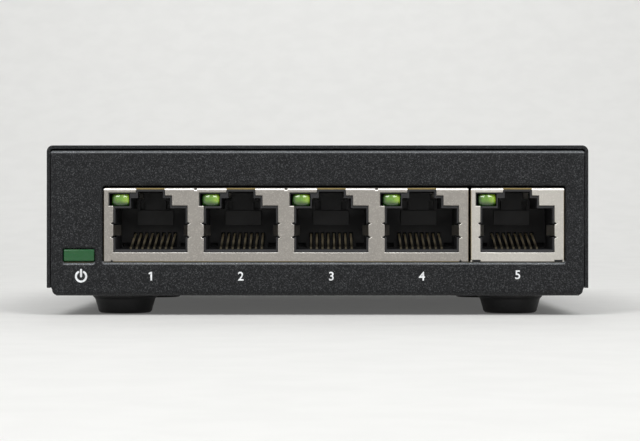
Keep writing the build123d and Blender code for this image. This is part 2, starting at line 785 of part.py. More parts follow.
def power_led():
    """Side-looking chip indicator that shines into the light pipe."""
    width, depth, height = power_led_size
    y0 = front + lens_recess + lens_depth + pipe_depth + lens_gap
    body = block(lens_centre - width / 2, lens_centre + width / 2, y0, y0 + depth,
                 board_top, board_top + height)
    return chamfer(body.edges().filter_by(Axis.X).group_by(Axis.Z)[-1], depth / 4)


# ---- Power inlet ------------------------------------------------------------------------------
def dc_jack_body():
    """Barrel inlet: an arched moulding with a round well open to the rear."""
    half = inlet_width / 2
    arch = rectangle(inlet_centre - half, inlet_centre + half, board_top, board_top + inlet_height)
    body = along_y(arch, inlet_back, inlet_face)
    body = fillet(body.edges().filter_by(Axis.Y).group_by(Axis.Z)[-1], inlet_arch)
    axis = Pos(inlet_centre, inlet_z)
    well = inlet_face - inlet_bore_depth
    body -= along_y(axis * Circle(inlet_bore), well, inlet_face)
    body -= along_y(axis * Circle(inlet_rivet_radius), inlet_back, well)
    setback, height = sleeve_slot
    return body - block(inlet_centre + inlet_bore - merge, inlet_centre + half, well,
                        inlet_face - setback, inlet_z - height / 2, inlet_z + height / 2)


def dc_jack_pin():
    """Centre pin of the inlet, riveted through the back of the well."""
    axis = Pos(inlet_centre, inlet_z)
    well = inlet_face - inlet_bore_depth
    pin = along_y(axis * Circle(inlet_pin_radius), well, inlet_face - inlet_pin_recess)
    pin = chamfer(pin.edges().sort_by(Axis.Y)[-1], inlet_pin_radius / 3)
    return pin + along_y(axis * Circle(inlet_rivet_radius), inlet_back, well)


def inlet_tail_places():
    """Plan rectangles of the inlet's two solder tails."""
    side = inlet_centre + inlet_width / 2
    well = inlet_face - inlet_bore_depth
    return [(inlet_centre - inlet_tail_width / 2, inlet_centre + inlet_tail_width / 2,
             inlet_back - inlet_strip, inlet_back),
            (side, side + inlet_strip, well, well + inlet_tail_width)]


def dc_jack_terminals():
    """Solder strips of the inlet: one joined to the pin's rivet, one with the sleeve spring."""
    low = board_under - tail_length
    x0, x1, y0, y1 = inlet_tail_places()[0]
    back_strip = block(x0, x1, y0, y1, low, inlet_z + inlet_tail_width / 2)
    slot_end = inlet_face - sleeve_slot[0]
    setback, height = sleeve_strip
    x0, x1, y0, y1 = inlet_tail_places()[1]
    side_strip = block(x0, x1, y0, slot_end - setback, board_top + sleeve_strip_lift,
                       inlet_z + height / 2)
    side_strip += block(x0, x1, y0, y1, low, inlet_z)
    setback, height = sleeve_spring
    spring = strip([(x1 - inlet_strip / 2, y0 + inlet_strip / 2),
                    (x1 - inlet_strip / 2, slot_end - setback),
                    (inlet_centre + inlet_bore + sleeve_spring_reach, slot_end - setback)],
                   inlet_strip / 2, inlet_strip)
    return [back_strip, side_strip + along_z(spring, inlet_z - height / 2, inlet_z + height / 2)]


# ---- Components on the board ------------------------------------------------------------------
def package(x, y, size):
    """A moulded package on the board with its upper edges bevelled."""
    width, depth, height = size
    body = block(x - width / 2, x + width / 2, y - depth / 2, y + depth / 2,
                 board_top, board_top + height)
    return chamfer(body.edges().group_by(Axis.Z)[-1], height * package_bevel)


def transformer(x):
    """One port's isolation transformer: a moulded body with a row of leads along each side."""
    lead_width, lead_sheet = transformer_lead
    width = port_pitch - transformer_spacing
    pieces = [package(x, transformer_y, (width, transformer_depth, transformer_height))]
    for side in (-1, 1):
        near, far = sorted(transformer_y + side * reach / 2
                           for reach in (transformer_depth, transformer_lead_span))
        for i in range(transformer_leads):
            place = x + (i - (transformer_leads - 1) / 2) * transformer_lead_pitch
            pieces.append(block(place - lead_width / 2, place + lead_width / 2, near, far,
                                board_top, board_top + lead_sheet))
    return pieces


def switch_chip():
    """The switch controller: a square leadless package with a dimple at its first pad."""
    width, depth, height = chip_size
    radius, sunk = chip_dimple
    top = board_top + height
    return package(chip_x, chip_y, chip_size) - post(
        chip_x - width / 2 + chip_dimple_inset, chip_y + depth / 2 - chip_dimple_inset,
        top - sunk, top, radius)


def crystal():
    """The clock crystal in its obround can."""
    width, depth, height = crystal_size
    x = chip_x - chip_size[0] / 2 - chip_spacing - width / 2
    return along_z(Pos(x, chip_y + chip_size[1] / 2) * SlotOverall(width, depth),
                   board_top, board_top + height)


def flash_chip():
    """The configuration memory."""
    return package(chip_x + chip_size[0] / 2 + chip_spacing + flash_size[0] / 2, chip_y, flash_size)


def can_base(size):
    """Half the width of a can's square foot."""
    return size[0] + can_base_margin


def capacitor(x, y, size):
    """An electrolytic capacitor: a can on a square foot with two corners cut."""
    radius, height = size
    base = can_base(size)
    cut = base - can_base_cut
    plan = outline([(x - base, y - base), (x + cut, y - base), (x + base, y - cut),
                    (x + base, y + cut), (x + cut, y + base), (x - base, y + base)])
    can = post(x, y, board_top + can_base_height / 2, board_top + height, radius)
    return can + along_z(plan, board_top, board_top + can_base_height)


def passives(places):
    """Small chip parts with square ends, one at each place."""
    width, depth, height = passive_size
    return [block(x - width / 2, x + width / 2, y - depth / 2, y + depth / 2,
                  board_top, board_top + height) for x, y in places]


def chip_capacitors():
    """A row of small capacitors along the chip's front and rear."""
    aside = chip_size[1] / 2 + passive_gap + passive_size[1] / 2
    row = [chip_x + (i - (passives_per_side - 1) / 2) * passive_pitch
           for i in range(passives_per_side)]
    return passives([(x, chip_y + side * aside) for side in (-1, 1) for x in row])


def chip_resistors():
    """Two small resistors behind each transformer."""
    y = transformer_y + transformer_lead_span / 2 + passive_gap
    return passives([(x + side * resistor_spacing / 2, y)
                     for x in port_centres for side in (-1, 1)])


def power_parts():
    """The parts that feed the controller, in a row that starts beside the inlet."""
    widths = [2 * can_base(input_can), diode_size[0], regulator_size[0], inductor_size[0],
              2 * can_base(output_can)]
    edge = inlet_centre + inlet_width / 2 + inlet_strip
    places = []
    for width in widths:
        places.append(edge + power_spacing + width / 2)
        edge += power_spacing + width
    first_can, diode, regulator, inductor, last_can = places
    y = rear - power_row_inset
    fuse_y = y - diode_size[1] / 2 - fuse_spacing - fuse_size[1] / 2
    return {
        "input_capacitor": capacitor(first_can, y, input_can),
        "protection_diode": package(diode, y, diode_size),
        "input_fuse": package(diode, fuse_y, fuse_size),
        "voltage_regulator": package(regulator, y, regulator_size),
        "power_inductor": package(inductor, y, inductor_size),
        "output_capacitor": capacitor(last_can, y, output_can),
    }


# ---- Nodes ------------------------------------------------------------------------------------
def nodes():
    """Every node's name with its piece or group of pieces."""
    pieces = {
        "bottom_tray": bottom_tray(),
        "top_cover": top_cover(),
        "cover_screws": cover_screws(),
        "circuit_board": circuit_board(),
        "board_standoffs": board_standoffs(),
        "board_screws": board_screws(),
        "quad_jack_shield": jack_shield(ganged_centre, ganged_offsets),
        "quad_jack_housing": jack_housing(ganged_centre, ganged_offsets),
        "single_jack_shield": jack_shield(single_centre, [0.0]),
        "single_jack_housing": jack_housing(single_centre, [0.0]),
        "power_light_pipe": power_light_pipe(),
        "power_led": power_led(),
        "dc_jack_body": dc_jack_body(),
        "dc_jack_pin": dc_jack_pin(),
        "dc_jack_terminals": dc_jack_terminals(),
        "switch_chip": switch_chip(),
        "crystal": crystal(),
        "flash_chip": flash_chip(),
        "chip_capacitors": chip_capacitors(),
        "chip_resistors": chip_resistors(),
    }
    pieces.update(power_parts())
    for name, (x, y) in foot_places.items():
        pieces[name] = foot(x, y)
    for i, x in enumerate(port_centres, start=1):
        pieces[f"port_{i}_insert"] = port_insert(x)
        pieces[f"port_{i}_contacts"] = port_contacts(x)
        pieces[f"port_{i}_terminals"] = port_terminals(x)
        pieces[f"port_{i}_led"] = port_led(x)
        pieces[f"port_{i}_transformer"] = transformer(x)
    return pieces


def write_steps():
    """One STEP file for each node."""
    os.makedirs("parts", exist_ok=True)
    for name, shape in nodes().items():
        if isinstance(shape, list):
            shape = Compound(children=[solid for item in shape for solid in item.solids()])
        shape.label = name
        export_step(shape, f"parts/{name}.step")


write_steps()
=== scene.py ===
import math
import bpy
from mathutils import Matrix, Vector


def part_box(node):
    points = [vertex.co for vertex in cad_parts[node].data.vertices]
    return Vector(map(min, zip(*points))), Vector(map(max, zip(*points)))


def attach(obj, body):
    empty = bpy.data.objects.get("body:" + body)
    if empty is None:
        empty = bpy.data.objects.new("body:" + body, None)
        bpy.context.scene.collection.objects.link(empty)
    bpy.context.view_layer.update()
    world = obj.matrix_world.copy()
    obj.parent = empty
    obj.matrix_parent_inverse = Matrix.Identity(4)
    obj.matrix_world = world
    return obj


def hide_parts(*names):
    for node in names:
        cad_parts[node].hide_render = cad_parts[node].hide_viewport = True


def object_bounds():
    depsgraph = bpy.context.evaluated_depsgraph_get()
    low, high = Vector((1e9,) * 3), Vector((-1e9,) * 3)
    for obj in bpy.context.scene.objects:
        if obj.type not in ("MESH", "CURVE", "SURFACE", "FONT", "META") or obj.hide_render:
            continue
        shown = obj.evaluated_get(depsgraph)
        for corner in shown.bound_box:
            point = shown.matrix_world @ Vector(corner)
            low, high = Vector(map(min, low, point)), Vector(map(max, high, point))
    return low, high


bl_info = {
    "name": "Desktop Network Switch",
    "version": (1, 0, 0),
    "blender": (4, 5, 0),
    "location": "View3D > Sidebar > Switch",
    "description": "Dresses a five-port desktop network switch: painted case, sockets, contacts, "
                   "lights, print, feet and the board inside",
    "category": "Object",
}

import bmesh
import bpy
from bpy.props import FloatProperty, FloatVectorProperty, PointerProperty
from bpy.types import Operator, Panel, PropertyGroup
from mathutils import Matrix, Vector
from mathutils.geometry import interpolate_bezier

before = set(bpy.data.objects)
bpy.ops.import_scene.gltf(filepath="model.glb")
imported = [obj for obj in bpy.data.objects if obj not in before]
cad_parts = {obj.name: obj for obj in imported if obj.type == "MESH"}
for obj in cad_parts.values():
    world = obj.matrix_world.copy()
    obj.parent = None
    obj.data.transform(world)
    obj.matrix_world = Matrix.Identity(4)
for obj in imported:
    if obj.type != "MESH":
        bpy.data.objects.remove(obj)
CAD_BOX = [list(corner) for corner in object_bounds()]
MM = 0.001
LEVEL = 1e-6                 # points nearer to a plane than this lie in it
WELD = 1e-7                  # points nearer to each other than this are one
CASE = "case"
PORTS = range(1, 6)
SHANK = 1.5 * MM             # radius of every screw's shank
PITCH = 0.5 * MM             # and the pitch of its thread
RECESS = 3.0 * MM            # width of the cross recess in its head


def tone(red, green, blue):
    """A linear colour from the 8-bit values that a colour chart gives."""
    return tuple(c / 255 / 12.92 if c <= 10 else ((c / 255 + 0.055) / 1.055) ** 2.4
                 for c in (red, green, blue))


def colour(name, description, *value):
    """A colour setting."""
    return FloatVectorProperty(name=name, description=description, subtype="COLOR", size=3,
                               min=0.0, max=1.0, default=tone(*value))


def length(name, description, millimetres):
    """A length setting, given in millimetres and kept in metres."""
    return FloatProperty(name=name, description=description, subtype="DISTANCE", unit="LENGTH",
                         precision=6, min=0.0, default=millimetres * MM)


def power(name, description, watts):
    """A lamp's power setting."""
    return FloatProperty(name=name, description=description, unit="POWER", default=watts, min=0,
                         max=500)


# ---- Settings ----

class CaseSettings(PropertyGroup):
    paint: colour("Paint", "Powder coat of the tray and the cover", 22, 23, 25)
    fleck: colour("Fleck", "Lighter grains in the powder coat", 112, 114, 116)
    # These two rim colours are a painted highlight: lighter paint on the windows' rims where they
    # face upwards towards the lamps above.
    rubbed: colour("Painted Rim Highlight", "Thin paint on the windows' rims", 92, 95, 98)
    rubbed_fleck: colour("Rubbed Fleck", "Grains in the thin paint", 224, 226, 228)
    fleck_size: length("Fleck Size", "Width of a grain in the powder coat", 0.16)
    edge: length("Edge Radius", "Rounding that the paint leaves on the sheet's edges", 0.09)
    rim_edge: length("Window Rim", "Rounding round the windows of the front panel", 0.32)
    screw: colour("Screw", "Blackened screws in the cover's sides", 38, 38, 40)
    rubber: colour("Rubber", "Moulded feet", 24, 24, 25)
    rim: length("Foot Rim", "Height of the rim at the top of a foot", 0.5)
    neck: length("Foot Neck", "How far a foot draws in under its rim", 0.42)
    sole: length("Sole Rounding", "Rounding between a foot's side and its sole", 0.75)


class PrintSettings(PropertyGroup):
    ink: colour("Ink", "Screen-printed numerals and power symbol", 238, 240, 242)
    thickness: length("Ink Thickness", "How far the ink stands on the paint", 0.025)
    numeral: length("Numeral Height", "Height of the port numerals", 1.53)
    weight: length("Numeral Weight", "Extra thickness of the numerals' strokes", 0.03)
    baseline: length("Numeral Centre", "Case underside to the middle of the numerals", 3.4)
    raised: length("Fifth Numeral Rise", "How much higher the fifth numeral stands", 0.24)
    symbol: length("Symbol Width", "Outer diameter of the power symbol", 2.14)
    stroke: length("Symbol Stroke", "Line width of the power symbol", 0.36)
    aside: length("Symbol Offset", "Power light's middle to the symbol's middle", 0.4)


class SocketSettings(PropertyGroup):
    shield: colour("Shield", "Tin-plated shell of the ganged sockets", 184, 179, 172)
    bright: colour("Single Shield", "Tin-plated shell of the single socket", 216, 212, 204)
    # This plate colour is a painted highlight on the shields' upward-facing edges.
    burnished: colour("Painted Edge Highlight", "Plate rubbed bright on upward edges", 250, 247, 240)
    bare: colour("Bare Edge", "Brass that shows where the plated sheet was cut", 196, 176, 122)
    grain: length("Plate Grain", "Size of the grain in the plated sheet", 0.2)
    bend: length("Bend Rounding", "Rounding of the shields' bends", 0.23)
    roll: length("Cut Rounding", "Rounding that the punch leaves round the shields' windows", 0.16)
    plastic: colour("Housings", "Moulded frames inside the shields", 31, 31, 33)
    # The inserts' colour is the housings' plastic painted darker: painted shade for the shade deep
    # inside the sockets.
    insert: colour("Inserts", "Moulded floors and back walls", 24, 23, 24)
    contact: colour("Contact Plate", "Gold plate on the contacts", 252, 236, 200)
    light: colour("Link Light", "Diffused lens of the link lights", 102, 146, 44)
    # These two lens colours are painted: a painted shade at the lens's foot and left side, and a
    # painted glow on its right side.
    light_deep: colour("Link Light Painted Shade", "Foot and shaded side of that lens", 22, 56, 10)
    light_pale: colour("Link Light Painted Glow", "Bright side of that lens", 154, 190, 62)
    power: colour("Power Light", "Clear lens of the power light", 34, 88, 48)
    inlet: colour("Inlet Plastic", "Body of the barrel inlet", 26, 26, 27)


class BoardSettings(PropertyGroup):
    mask: colour("Solder Mask", "Varnish on the circuit board", 18, 74, 44)
    trace: colour("Trace", "Copper lines under the varnish", 34, 104, 60)
    laminate: colour("Laminate", "Cut edge of the circuit board", 168, 158, 104)
    package: colour("Package", "Moulded packages", 30, 30, 32)
    ceramic: colour("Ceramic", "Small capacitors", 164, 132, 96)
    solder: colour("Solder", "Tinned leads and end caps", 200, 202, 204)
    brass: colour("Brass", "Standoffs", 196, 158, 88)


class StageSettings(PropertyGroup):
    floor: colour("Floor", "Paper that the switch stands on", 226, 226, 224)
    distance: length("Camera Distance", "Front panel to the camera", 356)
    height: length("Camera Height", "Floor to the camera", 16.5)
    lens: FloatProperty(name="Focal Length", description="Focal length of the camera",
                        unit="CAMERA", default=115.5, min=10, max=500)
    overhead: power("Overhead Power", "Power of the wide lamp above and before the switch", 1.1)
    key: power("Key Power", "Power of each front lamp", 2.2)
    fill: power("Fill Power", "Power of the lamp behind the switch", 1.0)
    room: FloatProperty(name="Room Light", description="Light that the plain room gives",
                        default=0.4, min=0, max=2)
    seen: FloatProperty(name="Room Seen", description="Brightness of the room where it is seen "
                        "or mirrored", default=0.7, min=0, max=1)


def settings(name):
    """One group of the scene's settings."""
    return getattr(bpy.context.scene, "switch_" + name)


def port_centre(port):
    """The middle of a port across the case."""
    low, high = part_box(f"port_{port}_insert")
    return (low.x + high.x) / 2


# ---- Mesh tools ----

def node_copy(name):
    """A CAD node's mesh with its facets joined into whole faces."""
    seam, flat = 2e-6, math.radians(0.6)
    mesh = bmesh.new()
    mesh.from_mesh(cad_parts[name].data)
    bmesh.ops.remove_doubles(mesh, verts=mesh.verts, dist=seam)
    bmesh.ops.dissolve_limit(mesh, angle_limit=flat, use_dissolve_boundaries=False,
                             verts=mesh.verts, edges=mesh.edges)
    return mesh


def vertices(geometry):
    """The vertices among an operator's results."""
    return [item for item in geometry if isinstance(item, bmesh.types.BMVert)]


def extent(verts):
    """The lowest and the highest corner of some vertices."""
    points = [vert.co for vert in verts]
    return tuple(Vector([pick(point[axis] for point in points) for axis in range(3)])
                 for pick in (min, max))


def sharp_edges(edges, least=32.0):
    """The edges whose faces meet at more than the given angle."""
    return [edge for edge in edges
            if edge.is_manifold and edge.calc_face_angle(0) > math.radians(least)]


def round_edges(mesh, radius, segments=2, edges=None, clamp=True):
    """Rounds the given edges, or every sharp one."""
    bmesh.ops.bevel(mesh, geom=sharp_edges(mesh.edges) if edges is None else edges,
                    offset=radius, offset_type="OFFSET", segments=segments, profile=0.5,
                    affect="EDGES", clamp_overlap=clamp, material=-1)
    return mesh


def block(mesh, low, high):
    """Adds a block between two corners."""
    place = Matrix.Translation((low + high) / 2) @ Matrix.Diagonal((*(high - low), 1))
    bmesh.ops.create_cube(mesh, size=1, matrix=place)
    return mesh


def mesh_data(name, mesh):
    """The finished mesh as data for an object."""
    data = bpy.data.meshes.new(name)
    mesh.to_mesh(data)
    mesh.free()
    return data


def join(mesh, part):
    """Moves everything in part into mesh."""
    data = mesh_data("joined", part)
    mesh.from_mesh(data)
    bpy.data.meshes.remove(data)
    return mesh


def turned(mesh, profile, place=Matrix(), steps=48):
    """Adds a form turned about Z through the profile's (radius, height) points, then placed."""
    part = bmesh.new()
    verts = [part.verts.new((radius, 0, height)) for radius, height in profile]
    edges = [part.edges.new(pair) for pair in zip(verts, verts[1:])]
    bmesh.ops.spin(part, geom=verts + edges, cent=(0, 0, 0), axis=(0, 0, 1), angle=math.tau,
                   steps=steps, use_merge=True, use_duplicate=False)
    bmesh.ops.remove_doubles(part, verts=part.verts, dist=WELD)
    bmesh.ops.recalc_face_normals(part, faces=part.faces)
    bmesh.ops.transform(part, matrix=place, verts=part.verts)
    return join(mesh, part)


def bent(points, radius, steps):
    """The points of a line with each of its corners rounded."""
    line = [Vector(point) for point in points]
    path = [line[0]]
    for before, corner, after in zip(line, line[1:], line[2:]):
        start = corner + (before - corner).normalized() * radius
        end = corner + (after - corner).normalized() * radius
        path += interpolate_bezier(start, start.lerp(corner, 0.55), end.lerp(corner, 0.55), end,
                                   steps)
    return path + [line[-1]]


def ribbon(mesh, path, across, width, thickness):
    """Adds a strip of rectangular section that follows the path, square to the given direction."""
    part = bmesh.new()
    runs = [(b - a).normalized() for a, b in zip(path, path[1:])]
    rings = []
    for i, point in enumerate(path):
        before, after = runs[max(i - 1, 0)], runs[min(i, len(runs) - 1)]
        along = (before + after).normalized()
        rise = along.cross(across) * (thickness / 2 / along.dot(after))
        side = across * (width / 2)
        rings.append([point - side - rise, point + side - rise, point + side + rise,
                      point - side + rise])
    verts = [part.verts.new(corner) for corner in rings[0]]
    edges = [part.edges.new((verts[i - 1], verts[i])) for i in range(4)]
    bmesh.ops.contextual_create(part, geom=edges)
    for before, after in zip(rings, rings[1:]):
        made = bmesh.ops.extrude_edge_only(part, edges=edges)["geom"]
        verts = vertices(made)
        edges = [item for item in made if isinstance(item, bmesh.types.BMEdge)
                 and all(vert in verts for vert in item.verts)]
        for vert in verts:
            vert.co = after[min(range(4), key=lambda i: (vert.co - before[i]).length)]
    bmesh.ops.contextual_create(part, geom=edges)
    bmesh.ops.recalc_face_normals(part, faces=part.faces)
    return join(mesh, part)


def linked(name, data):
    """A new object of this data, placed in the scene."""
    item = bpy.data.objects.new(name, data)
    bpy.context.scene.collection.objects.link(item)
    return item


def carved(mesh, cutter):
    """Cuts one closed mesh out of another."""
    whole, tool = [linked(name, mesh_data(name, part))
                   for name, part in (("whole", mesh), ("cutter", cutter))]
    cut = whole.modifiers.new("Cut", "BOOLEAN")
    cut.operation, cut.solver, cut.object = "DIFFERENCE", "EXACT", tool
    bpy.context.view_layer.update()
    result = bmesh.new()
    result.from_object(whole, bpy.context.evaluated_depsgraph_get())
    for part in (whole, tool):
        data = part.data
        bpy.data.objects.remove(part)
        bpy.data.meshes.remove(data)
    bmesh.ops.remove_doubles(result, verts=result.verts, dist=WELD)
    return result


def add_piece(name, mesh, materials, nodes=(), body=CASE, smooth=40.0):
    """Makes the finished object, shades it, and lets it ride in place of its CAD nodes."""
    for face in mesh.faces:
        face.smooth = True
    for edge in mesh.edges:
        edge.smooth = not edge.is_manifold or edge.calc_face_angle(0) < math.radians(smooth)
    piece = linked(name, mesh_data(name, mesh))
    for material in materials:
        piece.data.materials.append(material)
    even = piece.modifiers.new("Even Shading", "WEIGHTED_NORMAL")
    even.keep_sharp = True
    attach(piece, body)
    if nodes:
        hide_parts(*nodes)
    return piece


def spread(mesh, index, chosen):
    """Gives a material index to the faces for which the test on centre and normal holds."""
    for face in mesh.faces:
        if chosen(face.calc_center_median(), face.normal):
            face.material_index = index


def dress(name, node, edge, material, segments=2):
    """Makes a piece of one material from a CAD node, its sharp edges rounded."""
    return add_piece(name, round_edges(node_copy(node), edge, segments), finish(material), [node])


# ---- Material tools ----

class Tree:
    """Adds nodes to a shader tree and joins them."""

    def __init__(self, tree):
        self.tree = tree

    def node(self, kind, values=(), **attributes):
        """A new node; each value is set on its socket, or joined to it where it is a socket."""
        node = self.tree.nodes.new("ShaderNode" + kind)
        for name, value in attributes.items():
            setattr(node, name, value)
        for socket, value in dict(values).items():
            self.put(node.inputs[socket], value)
        return node

    def put(self, socket, value):
        """Sets a socket, or joins another socket to it."""
        if isinstance(value, bpy.types.NodeSocket):
            self.tree.links.new(value, socket)
        elif socket.type == "RGBA":
            socket.default_value = (*value[:3], 1)
        else:
            socket.default_value = value

    def maths(self, operation, *values):
        """The result of a Math node."""
        node = self.node("Math", enumerate(values), operation=operation)
        return node.outputs[0]

    def ramp(self, value, low, high, start, end, kind="LINEAR"):
        """A value carried from one range to another."""
        node = self.node("MapRange", {"Value": value, "From Min": low, "From Max": high,
                                      "To Min": start, "To Max": end}, interpolation_type=kind)
        return node.outputs[0]

    def mask(self, value, low, high):
        """A value carried smoothly from nought to one between two levels."""
        return self.ramp(value, low, high, 0.0, 1.0, "SMOOTHSTEP")

    def mix(self, factor, first, second):
        """Two colours mixed."""
        node = self.node("Mix", {0: factor, 6: first, 7: second}, data_type="RGBA")
        return node.outputs[2]

    def place(self):
        """The place on the object."""
        return self.node("TexCoord").outputs["Object"]

    def split(self, vector):
        """The three parts of a vector."""
        return self.node("SeparateXYZ", {"Vector": vector}).outputs

    def sized(self, vector, size):
        """A vector counted in steps of the size."""
        return self.node("VectorMath", {0: vector, "Scale": self.maths("DIVIDE", 1.0, size)},
                         operation="SCALE").outputs[0]

    def noise(self, vector, scale, detail, roughness, distortion=0.0):
        """The value of a noise."""
        values = {"Vector": vector, "Scale": scale, "Detail": detail, "Roughness": roughness,
                  "Distortion": distortion}
        return self.node("TexNoise", values).outputs["Fac"]


def group_tree(name, inputs, outputs):
    """A shader node group with its sockets, and its input and output nodes."""
    group = bpy.data.node_groups.new(name, "ShaderNodeTree")
    for title, kind, value in inputs:
        group.interface.new_socket(title, in_out="INPUT",
                                   socket_type="NodeSocket" + kind).default_value = value
    for title in outputs:
        group.interface.new_socket(title, in_out="OUTPUT", socket_type="NodeSocketFloat")
    tree = Tree(group)
    return (tree, group.nodes.new("NodeGroupInput").outputs,
            group.nodes.new("NodeGroupOutput").inputs)


def build_grain_group():
    """Grain: bright flecks, slow clouds and a height, all at the size given."""
    tree, given, out = group_tree("Grain", [("Size", "Float", 0.0002),
                                            ("Stretch", "Vector", (1, 1, 1)),
                                            ("Coverage", "Float", 0.5)],
                                  ["Fleck", "Cloud", "Height"])
    drawn = tree.node("VectorMath", {0: tree.place(), 1: given["Stretch"]}, operation="MULTIPLY")
    sized = tree.sized(drawn.outputs[0], given["Size"])
    fine = tree.noise(sized, 1.0, 3.0, 0.6)
    slow = tree.noise(sized, 0.11, 2.0, 0.55)
    level = tree.maths("SUBTRACT", 1.0, given["Coverage"])
    tree.put(out["Fleck"], tree.mask(fine, level, tree.maths("ADD", level, 0.13)))
    tree.put(out["Cloud"], tree.mask(slow, 0.3, 0.7))
    tree.put(out["Height"], fine)


def build_wear_group():
    """Handling: faint smudges that are wider than the grain, for roughness."""
    tree, given, out = group_tree("Handling", [("Size", "Float", 0.01)], ["Smudge"])
    smear = tree.noise(tree.sized(tree.place(), given["Size"]), 1.0, 4.0, 0.6, 0.8)
    tree.put(out["Smudge"], tree.mask(smear, 0.42, 0.68))


def shader(name, **values):
    """A new material's tree and its Principled shader, with the given constants on its sockets."""
    material = bpy.data.materials.new(name)
    material.use_nodes = True
    tree = Tree(material.node_tree)
    main = material.node_tree.nodes["Principled BSDF"]
    for socket, value in values.items():
        tree.put(main.inputs[socket.replace("_", " ")], value)
    return tree, main


def grouped(tree, name, **values):
    """A node group placed in a material with its own values."""
    node = tree.node("Group")
    node.node_tree = bpy.data.node_groups[name]
    for socket, value in values.items():
        tree.put(node.inputs[socket], value)
    return node.outputs


def smudged(tree, main, rough, size, share):
    """Gives a roughness, and adds a share of the smudges of handling to it."""
    smudge = grouped(tree, "Handling", Size=size)["Smudge"]
    tree.put(main.inputs["Roughness"],
             tree.maths("ADD", rough, tree.maths("MULTIPLY", smudge, share)))


def bump(tree, main, height, depth, strength=1.0):
    """Raises the surface by the height, to the depth given in metres."""
    node = tree.node("Bump", {"Strength": strength, "Distance": depth, "Height": height})
    tree.put(main.inputs["Normal"], node.outputs[0])


def shade(value, share):
    """A colour at this share of its strength, darker or lighter."""
    return tuple(c * share for c in value)


def paint_finish(name, paint, fleck, size):
    """Powder coat: a dark paint with fine lighter grains and a pebbled surface."""
    tree, main = shader(name, Specular_IOR_Level=0.2)
    grain = grouped(tree, "Grain", Size=size, Coverage=0.47)
    coarse = grouped(tree, "Grain", Size=size * 1.8, Coverage=0.45)
    base = tree.mix(coarse["Cloud"], shade(paint, 0.93), shade(paint, 1.06))
    glint = tree.mix(tree.maths("MULTIPLY", grain["Fleck"], 0.48), base, fleck)
    glint = tree.mix(tree.maths("MULTIPLY", coarse["Fleck"], 0.12), glint, fleck)
    tree.put(main.inputs["Base Color"], glint)
    smudged(tree, main, tree.ramp(grain["Fleck"], 0, 1, 0.28, 0.2), 0.02, 0.05)
    both = tree.maths("ADD", grain["Height"], coarse["Height"])
    bump(tree, main, both, size * 0.4, 0.8)


def plated_finish(name, value, rough, size, stretch=(1, 1, 1), depth=0.05, dull=0.86,
                  mottle=0.93, painted_shade_heights=None):
    """Metal or plate, its shade and polish varied by a fine grain.

    painted_shade_heights gives the heights between which a painted shade, nearly black, gives way to
    the plate's own colour.
    """
    tree, main = shader(name, Metallic=1.0)
    grain = grouped(tree, "Grain", Size=size, Stretch=stretch, Coverage=0.5)
    base = tree.mix(grain["Fleck"], shade(value, dull), value)
    base = tree.mix(tree.maths("MULTIPLY", grain["Cloud"], 0.5), base, shade(value, mottle))
    # Painted shade: below the lower height the plate is darkened almost to black.
    if painted_shade_heights:
        height = tree.split(tree.place())[2]
        base = tree.mix(tree.mask(height, *painted_shade_heights), shade(value, 0.1), base)
    tree.put(main.inputs["Base Color"], base)
    polish = tree.ramp(grain["Height"], 0.3, 0.7, rough - 0.05, rough + 0.07)
    smudged(tree, main, polish, 0.012, 0.06)
    bump(tree, main, grain["Height"], size * depth)


def moulded_finish(name, value, rough, size, depth=0.12, spec=0.5):
    """Moulded plastic, rubber or resin: a slight shade and a fine spark-eroded texture."""
    tree, main = shader(name, Specular_IOR_Level=spec)
    grain = grouped(tree, "Grain", Size=size, Coverage=0.5)
    base = tree.mix(grain["Cloud"], shade(value, 0.84), shade(value, 1.14))
    base = tree.mix(tree.maths("MULTIPLY", grain["Fleck"], 0.18), base, shade(value, 1.5))
    tree.put(main.inputs["Base Color"], base)
    texture = tree.ramp(grain["Height"], 0.3, 0.7, rough - 0.06, rough + 0.06)
    smudged(tree, main, texture, 0.009, 0.07)
    bump(tree, main, grain["Height"], size * depth)


def lens_finish(name, value, size, painted_shading=None):
    """Tinted resin with a polished skin; painted_shading gives a painted shade at its foot and left
    side and a painted glow on its right side.
    """
    tree, main = shader(name, Roughness=0.12, IOR=1.45, Coat_Weight=0.6 if painted_shading else 0.0,
                        Coat_IOR=1.8, Coat_Roughness=0.08, Subsurface_Weight=0.15,
                        Subsurface_Scale=0.0004)
    grain = grouped(tree, "Grain", Size=size, Coverage=0.5)
    body = tree.mix(grain["Cloud"], shade(value, 0.93), shade(value, 1.07))
    if painted_shading:
        # A painted shade darkens the lens towards its foot and its left side, and a painted glow
        # lightens its right side.
        deep, painted_glow = painted_shading
        across, up, _ = tree.split(tree.node("UVMap", uv_map="Face").outputs["UV"])
        body = tree.mix(tree.mask(up, 0.05, 0.6), deep, body)
        side = tree.maths("MULTIPLY", tree.mask(across, 0.45, 0.95), tree.mask(up, 0.15, 0.5))
        body = tree.mix(side, body, painted_glow)
        body = tree.mix(tree.mask(across, 0.3, 0.0), body, deep)
    tree.put(main.inputs["Base Color"], body)
    bump(tree, main, grain["Height"], size * 0.02)


